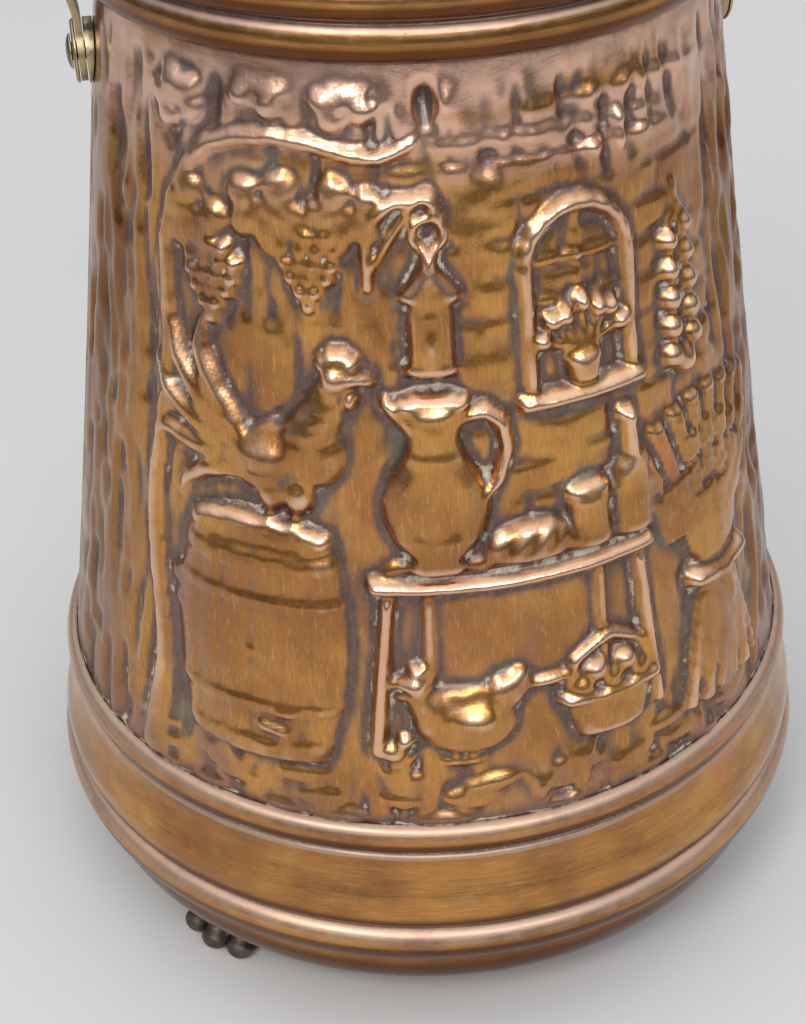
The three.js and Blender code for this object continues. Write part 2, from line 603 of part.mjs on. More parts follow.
function grip() {
  const shoulder = GRIP.halfLength - GRIP.spigotLength;
  const belly = curve([[GRIP.endRadius, -shoulder], [GRIP.waistRadius, -shoulder * 0.75],
    [GRIP.bellyRadius, 0], [GRIP.waistRadius, shoulder * 0.75], [GRIP.endRadius, shoulder]], 12);
  const outline = [
    [GRIP.boreRadius, -GRIP.halfLength], [GRIP.spigotRadius, -GRIP.halfLength],
    [GRIP.spigotRadius, -shoulder], ...belly, [GRIP.spigotRadius, shoulder],
    [GRIP.spigotRadius, GRIP.halfLength], [GRIP.boreRadius, GRIP.halfLength],
  ];
  return revolveAlongX(outline).translate([0, 0, BAIL.barZ]);
}

function ferrule() {
  const mouth = GRIP.halfLength - GRIP.spigotLength + GAP;
  const capFrom = GRIP.halfLength + GAP;
  const capTo = capFrom + FERRULE.capThickness;
  const outline = [
    [FERRULE.innerRadius, mouth], [FERRULE.radius, mouth], [FERRULE.radius, capTo - 0.8],
    [FERRULE.radius - 0.8, capTo], [GRIP.boreRadius, capTo], [GRIP.boreRadius, capFrom],
    [FERRULE.innerRadius, capFrom],
  ];
  return revolveAlongX(outline).translate([0, 0, BAIL.barZ]);
}

// ---------------------------------------------------------------- assembly

const scuttle = new THREE.Group();

const bucket = new THREE.Group();
bucket.add(
  piece('body_front', bodyFront, COPPER),
  piece('body_rear', bodyRear, COPPER),
  piece('rim_collar', rimCollar, COPPER),
  piece('rim_wire', rimWire, IRON),
  piece('base_ring', baseRing, COPPER),
  piece('bottom_pan', bottomPan, TINNED),
);

for (const [side, azimuth] of Object.entries(FOOT.azimuths)) {
  const corner = new THREE.Group();
  corner.rotation.z = degrees(azimuth);
  corner.add(
    piece(`foot_${side}`, paw(), IRON),
    piece(`foot_bolt_${side}`, footBolt(), IRON),
    piece(`foot_washer_${side}`, footWasher(), IRON),
  );
  bucket.add(corner);
}

for (const [side, turn] of [['right', 0], ['left', 180]]) {
  const ear = new THREE.Group();
  ear.rotation.z = degrees(turn);
  ear.add(
    piece(`ear_boss_${side}`, earBoss, BRASS),
    piece(`ear_rosette_${side}`, earRosette(), BRASS),
    piece(`pivot_rivet_${side}`, pivotRivet(), BRASS),
    piece(`backing_plate_${side}`, backingPlate, IRON),
  );
  bucket.add(ear);
}

const handle = new THREE.Group();
handle.add(
  piece('bail', bail(), IRON),
  piece('grip', grip(), WOOD),
  piece('ferrule_right', ferrule(), BRASS),
  piece('ferrule_left', ferrule().mirror([1, 0, 0]), BRASS),
);

scuttle.add(bucket, handle);

export default scuttle;
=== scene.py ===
import math

import bmesh
import bpy
import numpy as np
from mathutils import Matrix, Vector


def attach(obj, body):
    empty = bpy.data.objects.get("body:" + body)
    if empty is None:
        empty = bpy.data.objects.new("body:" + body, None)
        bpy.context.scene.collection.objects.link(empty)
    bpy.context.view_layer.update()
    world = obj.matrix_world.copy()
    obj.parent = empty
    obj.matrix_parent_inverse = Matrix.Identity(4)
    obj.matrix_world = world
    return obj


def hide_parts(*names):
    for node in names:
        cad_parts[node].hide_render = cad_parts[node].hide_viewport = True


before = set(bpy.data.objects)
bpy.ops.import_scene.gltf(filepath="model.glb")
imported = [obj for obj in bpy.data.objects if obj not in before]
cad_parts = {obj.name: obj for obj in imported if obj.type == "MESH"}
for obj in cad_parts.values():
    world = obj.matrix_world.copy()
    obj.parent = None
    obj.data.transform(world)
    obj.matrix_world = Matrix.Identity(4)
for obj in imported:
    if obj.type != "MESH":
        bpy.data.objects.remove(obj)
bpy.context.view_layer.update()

bl_info = {
    "name": "Coal scuttle",
    "version": (1, 0, 0),
    "blender": (4, 5, 0),
    "location": "View3D > Sidebar > Scuttle",
    "description": "Models an embossed copper coal scuttle, its paw feet, its bail and its finishes",
    "category": "Object",
}

MM = 0.001                      # every drawing size below is in millimetres


# ------------------------------------------------------------------ drawing sizes

SHEET = 1.2                     # copper sheet thickness
MEAN_GIRTH = 103.0              # radius at which widths on the wall are measured
FOOT_LEVEL = 84.5               # crease between the wall and the base ring
RIM_LEVEL = 307.3               # crease between the wall and the rim collar
FOOT_RADIUS = 120.0
RIM_RADIUS = 86.3
WALL_HOLLOW = 0.75              # how far the wall dips inward half way up
WALL_TUCK = (5.5, 8.5)          # plain edges inside the ring and the collar
LAP_SPAN = 96.0                 # degrees that a sheet reaches to either side of its middle
LAP_STEP = 1.5                  # the rear sheet steps in this far under the front one
LAP_JOGGLE = (9.0, 18.0)        # degrees from the seam over which it does so

PIVOT_LEVEL = 286.0
BAR_LEVEL = 428.0
STRAP_HALF = 0.95               # half the thickness of the bail's strap
BOLT_RADIUS = 98.0
FOOT_AZIMUTHS = {"left": -140.0, "right": -20.0, "rear": 100.0}
FOOT_HEIGHT = 13.5
PAN_FLOOR = 15.0                # upper face of the pan's floor

CAMERA_PLACE = (0.0, -509.3, 474.4)
CAMERA_LENS = 64.55             # on a sensor 36 mm tall
CAMERA_PITCH = 0.6166           # radians that it looks down
CAMERA_YAW = 0.0123
CAMERA_ROLL = 0.0374
CAMERA_TURN = -10.0             # degrees round the bucket, away from the picture's middle


def wall_radius(level):
    share = (level - FOOT_LEVEL) / (RIM_LEVEL - FOOT_LEVEL)
    share = np.clip(share, 0.0, 1.0)
    dip = WALL_HOLLOW * 4 * share * (1 - share)
    return FOOT_RADIUS + (RIM_RADIUS - FOOT_RADIUS) * share - dip


# ------------------------------------------------------------------ settings for a user

def srgb(red, green, blue):
    """A colour given in 0 to 255 steps, as the linear values that a shader wants."""
    shares = [value / 255 for value in (red, green, blue)]
    return tuple(s / 12.92 if s <= 0.04045 else ((s + 0.055) / 1.055) ** 2.4 for s in shares)


class ScuttleSizes(bpy.types.PropertyGroup):
    relief: bpy.props.FloatProperty(
        name="Relief", description="How proud the embossed motifs stand, as a share of the drawing",
        default=1.0, min=0.0, max=1.2, subtype="FACTOR")
    gouge: bpy.props.FloatProperty(
        name="Gouges", description="Depth of the punched upright marks round the picture",
        default=0.0019, min=0.0, max=0.0025, unit="LENGTH")
    steps: bpy.props.IntProperty(
        name="Steps round", description="Facets round the ring, the collar and the pan",
        default=192, min=48, max=320)
    ring_dent: bpy.props.FloatProperty(
        name="Ring dents", description="Depth of the dents in the base ring",
        default=0.0012, min=0.0, max=0.003, unit="LENGTH")


class ScuttleColours(bpy.types.PropertyGroup):
    copper: bpy.props.FloatVectorProperty(
        name="Copper", description="Lacquered brown copper of the plain areas", subtype="COLOR",
        default=srgb(204, 146, 72), min=0.0, max=1.0)
    deep: bpy.props.FloatVectorProperty(
        name="Deep copper", description="Darker patches of the copper", subtype="COLOR",
        default=srgb(166, 110, 54), min=0.0, max=1.0)
    # Pink of rubbed metal on raised peaks, also used as a painted highlight on upward-facing slopes of the
    # relief
    wear_and_sheen: bpy.props.FloatVectorProperty(
        name="Worn copper", description="Pink metal where hands have rubbed", subtype="COLOR",
        default=srgb(238, 194, 162), min=0.0, max=1.0)
    stain: bpy.props.FloatVectorProperty(
        name="Stain", description="Purple brown tarnish in the hollows", subtype="COLOR",
        default=srgb(84, 72, 74), min=0.0, max=1.0)
    crust: bpy.props.FloatVectorProperty(
        name="Crust", description="Grey green deposit along the outlines", subtype="COLOR",
        default=srgb(200, 190, 168), min=0.0, max=1.0)
    iron: bpy.props.FloatVectorProperty(
        name="Cast metal", description="Blackened metal of the feet", subtype="COLOR",
        default=srgb(84, 70, 60), min=0.0, max=1.0)
    brass: bpy.props.FloatVectorProperty(
        name="Brass", description="Rosettes, rivets and ferrules", subtype="COLOR",
        default=srgb(122, 112, 84), min=0.0, max=1.0)
    wood: bpy.props.FloatVectorProperty(
        name="Wood", description="Stained wood of the grip", subtype="COLOR",
        default=srgb(62, 36, 22), min=0.0, max=1.0)
    floor: bpy.props.FloatVectorProperty(
        name="Floor", description="Pale floor under the scuttle", subtype="COLOR",
        default=srgb(205, 203, 200), min=0.0, max=1.0)


# ------------------------------------------------------------------ lines and sections

def arc(centre, radius, start, end, steps):
    """Points on an arc, from one angle in degrees to another."""
    turns = np.radians(np.linspace(start, end, steps + 1))
    return [(centre[0] + radius * math.cos(a), centre[1] + radius * math.sin(a)) for a in turns]


def smooth_line(points, steps):
    """Points on a smooth curve through the given ones."""
    line = np.array([points[0], *points, points[-1]], float)
    spans = len(points) - 1
    made = []
    for place in np.linspace(0, spans, steps + 1):
        i = min(int(place), spans - 1)
        t = place - i
        a, b, c, d = line[i:i + 4]
        made.append(tuple(0.5 * (2 * b + (c - a) * t + (2 * a - 5 * b + 4 * c - d) * t * t
                                 + (3 * b - a - 3 * c + d) * t ** 3)))
    return made


def bead(start, widest, end, steps):
    """A half round bead from one crease, over its widest point, to the next crease."""
    before = ((start[0] + 2 * widest[0]) / 3, (2 * start[1] + widest[1]) / 3)
    after = ((end[0] + 2 * widest[0]) / 3, (2 * end[1] + widest[1]) / 3)
    return smooth_line([start, before, widest, after, end], steps)


def sheet_section(line, thickness=SHEET, every=2):
    """A closed section of sheet metal: the line itself, and a coarser one on its left."""
    points = np.array(line, float)
    along = np.gradient(points, axis=0)
    along /= np.linalg.norm(along, axis=1)[:, None]
    inner = points + np.stack([-along[:, 1], along[:, 0]], 1) * thickness
    inner[:, 0] = np.maximum(inner[:, 0], 0)
    chosen = sorted({*range(0, len(points), every), len(points) - 1})
    return [tuple(p) for p in points] + [tuple(inner[i]) for i in reversed(chosen)]


# ------------------------------------------------------------------ mesh helpers

def spin_section(bm, section, steps, closed=True):
    """Spins a (radius, height) section once round +Z. An open one has both ends on the axis."""
    points = [bm.verts.new((radius * MM, 0, level * MM)) for radius, level in section]
    ends = points[1:] + points[:1] if closed else points[1:]
    lines = [bm.edges.new(pair) for pair in zip(points, ends)]
    bmesh.ops.spin(bm, geom=points + lines, cent=(0, 0, 0), axis=(0, 0, 1), dvec=(0, 0, 0),
                   angle=math.tau, steps=steps, use_merge=True, use_duplicate=False)
    bmesh.ops.remove_doubles(bm, verts=bm.verts[:], dist=1e-7)
    bmesh.ops.recalc_face_normals(bm, faces=bm.faces[:])


def soften_edges(bm, offset, sharper_than=35.0, segments=2):
    """Rounds every edge that turns by more than an angle in degrees."""
    limit = math.radians(sharper_than)
    sharp = [e for e in bm.edges if e.is_manifold and e.calc_face_angle() > limit]
    bmesh.ops.bevel(bm, geom=sharp, offset=offset * MM, offset_type="OFFSET", segments=segments,
                    profile=0.5, affect="EDGES", clamp_overlap=True, material=-1)


def to_piece(bm, name):
    """Turns a bmesh into a smooth shaded object at the origin."""
    mesh = bpy.data.meshes.new(name)
    bm.to_mesh(mesh)
    bm.free()
    mesh.shade_smooth()
    piece = bpy.data.objects.new(name, mesh)
    bpy.context.scene.collection.objects.link(piece)
    return piece


def bake_modifiers(piece):
    """Puts the result of the piece's modifiers into its mesh."""
    graph = bpy.context.evaluated_depsgraph_get()
    made = bpy.data.meshes.new_from_object(piece.evaluated_get(graph))
    piece.modifiers.clear()
    piece.data = made
    made.shade_smooth()


def read(collection, name, size, kind=np.float32):
    values = np.empty(len(collection) * size, kind)
    collection.foreach_get(name, values)
    return values.reshape(-1, size) if size > 1 else values


def write_values(mesh, name, values):
    attribute = mesh.attributes.get(name) or mesh.attributes.new(name, "FLOAT", "POINT")
    attribute.data.foreach_set("value", np.ascontiguousarray(values, np.float32))


def mark_wear(piece, reach=2.5, passes=3):
    """Stores how far each point stands proud of its neighbours or lies in a hollow."""
    mesh = piece.data
    places = read(mesh.vertices, "co", 3).astype(float)
    normals = read(mesh.vertices, "normal", 3).astype(float)
    pairs = read(mesh.edges, "vertices", 2, np.int32)
    a, b = pairs[:, 0], pairs[:, 1]
    step = places[b] - places[a]
    length = np.maximum(np.sum(step * step, axis=1), 1e-12)
    count = len(places)
    ones = np.maximum(np.bincount(a, minlength=count) + np.bincount(b, minlength=count), 1)
    bend = np.bincount(a, -np.sum(normals[a] * step, 1) / length, count)
    bend += np.bincount(b, np.sum(normals[b] * step, 1) / length, count)
    bend = np.clip(2 * bend / ones * reach * MM, -2, 2)
    for _ in range(passes):
        around = np.bincount(a, bend[b], count) + np.bincount(b, bend[a], count)
        bend = 0.5 * bend + 0.5 * around / ones
    write_values(mesh, "proud", np.clip(bend, 0, 1))
    write_values(mesh, "hollow", np.clip(-bend, 0, 1))


def dress(piece, body, finish, nodes):
    """Gives a piece its finish and its body, and hides the CAD nodes it stands for."""
    piece.data.materials.clear()
    piece.data.materials.append(finish)
    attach(piece, body)
    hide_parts(*nodes)


# ------------------------------------------------------------------ random but repeatable waves

def ramp(value, start, end):
    """Rises smoothly from 0 at start to 1 at end."""
    share = np.clip((value - start) / (end - start), 0, 1)
    return share * share * (3 - 2 * share)


def waves(across, up, wide, tall, seed):
    """Smooth random waves between -1 and 1, with cells of the given width and height."""
    a = (across - across.min()) / wide
    b = (up - up.min()) / tall
    i, j = a.astype(int), b.astype(int)
    lattice = np.random.default_rng(seed).uniform(-1, 1, (i.max() + 2, j.max() + 2))
    fa, fb = ramp(a - i, 0, 1), ramp(b - j, 0, 1)
    low = lattice[i, j] * (1 - fa) + lattice[i + 1, j] * fa
    high = lattice[i, j + 1] * (1 - fa) + lattice[i + 1, j + 1] * fa
    return low * (1 - fb) + high * fb


def soften(field, passes):
    """Blurs a grid of heights a little at each pass."""
    for _ in range(passes):
        for axis in (0, 1):
            grid = np.moveaxis(field, axis, 0)
            wide = np.concatenate([grid[:1], grid, grid[-1:]])
            grid = (wide[:-2] + 2 * wide[1:-1] + wide[2:]) / 4
            field = np.moveaxis(grid, 0, axis)
    return field


# ------------------------------------------------------------------ chasing tools

def blob(x, y, centre, size, height, turn=0.0, fullness=0.5):
    """An oval swelling that rises steeply at its edge."""
    c, s = math.cos(turn), math.sin(turn)
    dx, dy = x - centre[0], y - centre[1]
    a, b = (dx * c + dy * s) / size[0], (dy * c - dx * s) / size[1]
    return height * np.clip(1 - a * a - b * b, 0, None) ** fullness


def strand(x, y, points, height, fullness=0.5):
    """A tapering rod along (x, y, half width) points, lower where it is thin."""
    widest = max(p[2] for p in points)
    made = np.zeros_like(x)
    for (x0, y0, w0), (x1, y1, w1) in zip(points, points[1:]):
        dx, dy = x1 - x0, y1 - y0
        t = np.clip(((x - x0) * dx + (y - y0) * dy) / (dx * dx + dy * dy), 0, 1)
        width = w0 + (w1 - w0) * t
        away = ((x - x0 - t * dx) ** 2 + (y - y0 - t * dy) ** 2) / (width * width)
        rod = np.clip(1 - away, 0, None) ** fullness * np.sqrt(width / widest)
        made = np.maximum(made, rod)
    return height * made


def line(x, y, points, width, amount):
    """A soft mark along (x, y) points, for scoring or raising a thin line."""
    nearest = np.full_like(x, 1e9)
    for (x0, y0), (x1, y1) in zip(points, points[1:]):
        dx, dy = x1 - x0, y1 - y0
        t = np.clip(((x - x0) * dx + (y - y0) * dy) / (dx * dx + dy * dy), 0, 1)
        nearest = np.minimum(nearest, (x - x0 - t * dx) ** 2 + (y - y0 - t * dy) ** 2)
    return amount * np.exp(-nearest / (width * width))


def slab(x, y, corners, height, edge=1.2):
    """A flat plate with convex corners given anticlockwise and a rounded border."""
    inside = np.full_like(x, 1e9)
    for (x0, y0), (x1, y1) in zip(corners, corners[1:] + corners[:1]):
        dx, dy = x1 - x0, y1 - y0
        away = (dx * (y - y0) - dy * (x - x0)) / math.hypot(dx, dy)
        inside = np.minimum(inside, away)
    return height * ramp(inside, 0, edge)


def turned(x, y, profile, height, fullness=0.5):
    """An upright turned body from (level, half width) pairs."""
    levels, widths = zip(*profile)
    width = np.interp(y, levels, widths)
    body = np.clip(1 - (x / width) ** 2, 0, None) ** fullness
    body = height * body * ramp(y, levels[0] - 0.4, levels[0] + 1)
    return body * ramp(-y, -levels[-1] - 0.4, 1 - levels[-1])


class Embossing:
    """The height of an embossed sheet over its girth and its level, in millimetres."""

    def __init__(self, across, up):
        self.across = across
        self.up = up
        self.girth = wall_radius(up + FOOT_LEVEL) / MEAN_GIRTH
        self.height = np.zeros_like(across)

    def place(self, u, v, size=1.0, facing=1):
        """Coordinates of every point, measured from (u, v) and in a motif's own size."""
        return (self.across - u) * self.girth * facing / size, (self.up - v) / size

    def lay(self, shape, outline=0.8):
        """Raises a shape and chases a groove round it."""
        cover = np.clip(shape / 0.7, 0, 1)
        halo = soften(cover, 7) * (1 - cover)
        lower = self.height - 2 * outline * halo
        self.height = np.where(shape > 0, np.maximum(lower, shape), lower)

    def score(self, amount):
        self.height = self.height - amount

    def lift(self, amount):
        self.height = self.height + amount


class Motif:
    """A place on the sheet with its own size, and the strokes that shape a motif there."""

    def __init__(self, sheet, u, v, size=1.0, facing=1):
        self.sheet = sheet
        self.x, self.y = sheet.place(u, v, size, facing)

    def rod(self, points, height, outline, fullness=0.5):
        self.sheet.lay(strand(self.x, self.y, points, height, fullness), outline)

    def dome(self, centre, size, height, outline, turn=0.0, fullness=0.5):
        self.sheet.lay(blob(self.x, self.y, centre, size, height, turn, fullness), outline)

    def plate(self, corners, height, outline, edge=1.2):
        self.sheet.lay(slab(self.x, self.y, corners, height, edge), outline)

    def vessel(self, profile, height, outline, fullness=0.5):
        self.sheet.lay(turned(self.x, self.y, profile, height, fullness), outline)

    def groove(self, points, width, depth):
        self.sheet.score(line(self.x, self.y, points, width, depth))

    def thread(self, points, width, height):
        self.sheet.lift(line(self.x, self.y, points, width, height))


# ------------------------------------------------------------------ farmyard motifs

def cask(sheet, u, v, size=1.0):
    at = Motif(sheet, u, v, size)
    x, y = at.x, at.y
    profile = [(0, 22), (9, 24.6), (22, 27), (36, 28), (50, 27), (63, 24.6), (72, 22)]
    at.vessel(profile, 5.2, 0.8, fullness=0.42)
    width = np.interp(y, *zip(*profile))
    within = ramp(y, 0.5, 2) * ramp(-y, -71.5, -70) * (np.abs(x) < width)
    for k in range(-4, 5):
        stave = np.abs(x - width * math.sin(k * 0.36)) / 0.75
        sheet.score(0.75 * np.exp(-stave * stave) * within)
    for low, high in ((3, 8.5), (17, 21), (51, 55), (62, 68)):
        sheet.lift(0.95 * ramp(y, low, low + 0.9) * ramp(-y, -high, 0.9 - high) * (np.abs(x) < width))
    at.dome((0, 72), (22, 5.6), 5.2, 0.6, fullness=0.25)
    sheet.score(0.9 * blob(x, y, (0, 72), (18.5, 3.9), 1, fullness=0.3))
    at.dome((0, 36), (3, 3), 6.2, 0.5)
    at.rod([(4, 13, 2.8), (11, 11, 2.3), (11.5, 7, 1.6)], 7.0, 0.7)
    at.rod([(8, 17.5, 1.6), (14, 17.8, 1.6)], 6.6, 0.4)


def rooster(sheet, u, v, size=1.0):
    at = Motif(sheet, u, v, size)
    for path in (
        [(-12, 26, 4), (-20, 37, 4), (-25, 48, 3.2), (-24, 57, 1.3)],
        [(-12, 24, 4), (-24, 33, 4), (-32, 43, 3.2), (-35, 53, 1.2)],
        [(-13, 21, 4), (-27, 27, 3.8), (-37, 33, 2.8), (-43, 41, 1.1)],
        [(-13, 18, 3.6), (-27, 19.5, 3.2), (-37, 21, 2.4), (-44, 17, 0.9)],
        [(-12, 16, 3.6), (-23, 13, 3), (-31, 7, 1.9), (-34, 1, 0.8)],
    ):
        at.rod(path, 4.6, 0.8)
        at.groove([p[:2] for p in path[:-1]], 0.7, 0.7)
    for side in (-2, 5.5):
        at.rod([(side, 10, 2.0), (side - 1, 1.5, 1.3)], 3.6, 0.5)
        for toe in (-3.5, 0.5, 4.5):
            at.rod([(side - 1, 1.6, 1.2), (side - 1 + toe, -0.6, 0.8)], 3.2, 0.3)
    at.dome((0, 21), (17, 11), 5.0, 1.0, turn=0.3)
    at.dome((-2, 12), (5.4, 6.5), 4.8, 0.5)
    at.dome((6, 12), (5, 6.5), 5.2, 0.5)
    at.dome((9, 24), (10.5, 10.5), 5.8, 0.2)
    at.rod([(8, 27, 8.6), (13, 37, 6.2), (15.5, 45, 4.6)], 5.9, 0.3)
    for level, reach in ((30, 8), (34, 7), (38, 6), (41.5, 5)):
        lean = (level - 30) * 0.35
        scallop = [(9 + lean - reach + k * reach / 3, level - 1.6 * (k % 2)) for k in range(7)]
        at.groove(scallop, 0.55, 0.55)
    for comb in ((12.2, 51, 2), (14.8, 53, 2.2), (17.8, 53.2, 2.2), (20.5, 51.4, 1.9)):
        at.dome(comb[:2], (comb[2], comb[2] * 1.25), 4.8, 0.4)
    at.dome((16.6, 47.4), (5.2, 4.8), 6.3, 0.4)
    at.rod([(20.6, 47.6, 2.3), (26, 45.8, 0.8)], 5.4, 0.4)
    at.dome((20.4, 41.6), (2.1, 3.6), 5.4, 0.5)
    at.groove([(17.6, 48.3), (17.9, 48.5)], 0.9, 0.9)
    at.dome((-2.5, 21.5), (12, 6.8), 6.9, 0.7, turn=0.22)
    for k in range(4):
        feather = [(7 - k * 1.0, 20.4 - k * 1.9 + 3.2), (-4, 18.6 - k * 1.9 + 3.4),
                   (-13 + k * 1.6, 16.8 - k + 3)]
        at.groove(feather, 0.6, 0.75)
    for k in range(5):
        at.groove([(3 - k * 2.3, 27 - 0.4 * k), (1.4 - k * 2.3, 24.4 - 0.4 * k)], 0.6, 0.6)


def hen(sheet, u, v, size=1.0, facing=1):
    at = Motif(sheet, u, v, size, facing)
    at.dome((-12.5, 21), (4.6, 8), 4.0, 0.8, turn=0.5)
    at.dome((-9, 19), (4.6, 8), 4.4, 0.4, turn=0.3)
    for side in (-1.5, 3):
        at.rod([(side, 5, 1.4), (side, 1, 1.0)], 2.8, 0.3)
        at.rod([(side - 2.4, 0.2, 0.8), (side + 3.2, 0.2, 0.8)], 2.6, 0.2)
    at.dome((0, 12.5), (14.5, 9.5), 5.0, 1.0, turn=0.1)
    at.rod([(8, 15, 6.6), (12.5, 23, 4.2)], 5.4, 0.3)
    at.dome((13.4, 26.4), (3.8, 3.6), 5.6, 0.4)
    at.rod([(16.4, 26.4, 1.7), (20.2, 25.2, 0.6)], 4.6, 0.3)
    at.dome((12.6, 30.4), (2.6, 1.3), 4.8, 0.3)
    at.dome((-2, 13.5), (9, 5.6), 6.4, 0.7, turn=0.12)
    for k in range(3):
        at.groove([(4 - k, 14.4 - k * 1.9), (-4, 12.4 - k * 1.7), (-9.5 + k, 12 - k)], 0.6, 0.7)


def chick(sheet, u, v, facing=1):
    at = Motif(sheet, u, v, 1, facing)
    at.dome((0, 4), (4.6, 3.6), 3.2, 0.6, turn=0.2)
    at.dome((3.4, 8), (2.6, 2.5), 3.6, 0.4)
    at.rod([(5.6, 8, 1.1), (7.8, 7.4, 0.5)], 2.6, 0.2)


def pitcher(sheet, u, v, size=1.0):
    at = Motif(sheet, u, v, size)
    x, y = at.x, at.y
    profile = smooth_line([(0, 9), (2.5, 8.6), (4.5, 7.2), (9, 11.6), (18, 15), (27, 13),
                           (35, 8.4), (41, 7.2), (47, 8.8), (50, 10)], 40)
    grip = [(7, 45, 2), (13, 47, 2.1), (18, 43, 2.1), (19.5, 35, 2), (17, 26, 1.9), (12, 20, 1.7)]
    at.rod(grip, 3.8, 1.0)
    at.rod([(-5, 44, 4.4), (-12.5, 50, 1.7)], 5.0, 0.7)
    at.vessel(profile, 6.0, 1.1)
    sheet.lift(line(x, y, [(-8, 35.5), (8, 35.5)], 0.9, 0.8) + line(x, y, [(-10, 11), (10, 11)], 0.9, 0.6))
    width = np.interp(y, *zip(*profile))
    ribs = np.cos(np.arcsin(np.clip(x / width, -1, 1)) * 9)
    sheet.lift(0.45 * ribs * ramp(y, 12, 15) * ramp(-y, -31, -26) * (np.abs(x) < width))
    at.dome((0, 50), (10, 2.6), 5.6, 0.5, fullness=0.25)
    sheet.score(1.4 * blob(x, y, (0, 50), (7.6, 1.5), 1, fullness=0.4))


def mug(sheet, u, v, size=1.0):
    at = Motif(sheet, u, v, size)
    x, y = at.x, at.y
    at.rod([(6, 14, 1.5), (11, 14, 1.6), (12.5, 9, 1.6), (10, 4.5, 1.5), (6, 4, 1.4)], 3.2, 0.7)
    at.vessel([(0, 7.6), (9, 6.6), (18, 7.2)], 4.6, 0.9)
    for level in (3, 14.5):
        at.thread([(-6, level), (6, level)], 0.7, 0.6)
    at.dome((0, 18), (7.2, 2), 4.6, 0.4, fullness=0.25)
    sheet.score(1.2 * blob(x, y, (0, 18), (5.4, 1.1), 1, fullness=0.4))


def bottle(sheet, u, v, size=1.0):
    at = Motif(sheet, u, v, size)
    x, y = at.x, at.y
    profile = smooth_line([(0, 6.6), (3, 7.2), (14, 7.4), (21, 6), (26, 3), (33, 2.4), (36, 2.5),
                           (38, 3.2), (40, 2.8)], 30)
    at.vessel(profile, 4.8, 0.9)
    sheet.score(line(x, y, [(-7, 6), (7, 6)], 0.6, 0.5) + line(x, y, [(-7, 15), (7, 15)], 0.6, 0.5))


def loaf(sheet, u, v, size=1.0):
    at = Motif(sheet, u, v, size)
    x, y = at.x, at.y
    sheet.lay(blob(x, y, (0, 3.5), (14, 8.5), 5.0) * ramp(y, -0.4, 0.8), 0.9)
    for k in (-7, -1, 5):
        at.groove([(k - 1.5, 4), (k + 2.5, 9.5)], 0.9, 0.9)


def table(sheet, u, v, half=42.0):
    at = Motif(sheet, u, v)
    for foot, top in ((-half + 14, -half + 16), (half - 16, half - 18)):
        at.rod([(top, -2, 1.9), (foot, -44, 1.7)], 2.2, 0.5)
    at.rod([(-half + 6, -34, 1.8), (half - 6, -34, 1.8)], 2.6, 0.6)
    for foot, top in ((-half - 2, -half + 5), (half + 2, half - 5)):
        at.plate([(top - 2.4, -1), (foot - 2.7, -55), (foot + 2.7, -55), (top + 2.4, -1)], 4.0, 0.9,
                 edge=1.8)
    back = [(-half, 3.4), (half, 3.4), (half - 7, 9), (-half + 7, 9)]
    at.plate(back, 2.0, 0.8)
    for level in (5.2, 7.1):
        at.groove([(-half + 6, level), (half - 6, level)], 0.5, 0.35)
    at.plate([(-half - 1, -1.6), (half + 1, -1.6), (half + 1, 3.8), (-half - 1, 3.8)], 4.6, 0.9, edge=1.5)
    for k in range(9):
        start = -half + 4 + k * 9.5
        at.groove([(start, 1.4 - k % 3 * 0.6), (start + 6, 1.2 - k % 2 * 0.8)], 0.4, 0.35)


def basket(sheet, u, v, size=1.0):
    at = Motif(sheet, u, v, size)
    x, y = at.x, at.y
    at.rod([(-14, 14, 1.7), (-11, 26, 1.7), (0, 32, 1.8), (11, 26, 1.7), (14, 14, 1.7)], 3.0, 0.7)
    for apple in ((-9, 17), (9, 17), (-4.6, 21.5), (5, 21.5), (0, 17.5)):
        at.dome(apple, (4.4, 4.1), 4.6, 0.7)
        at.groove([(apple[0], apple[1] + 2.6), (apple[0] + 0.8, apple[1] + 3.6)], 0.6, 0.8)
    profile = [(0, 11), (7, 13.2), (14, 15)]
    at.vessel(profile, 5.0, 0.9, fullness=0.4)
    weave = np.sin(x * 1.25) * np.sign(np.sin(y * 1.6)) * np.abs(np.sin(y * 1.6)) ** 0.5
    sheet.lift(0.5 * weave * (turned(x, y, profile, 1) > 0.25))
    at.rod([(-15, 14.2, 1.7), (15, 14.2, 1.7)], 5.6, 0.6)
    for k in range(10):
        at.groove([(-13.4 + 3 * k, 12.9), (-12.2 + 3 * k, 15.5)], 0.45, 0.6)


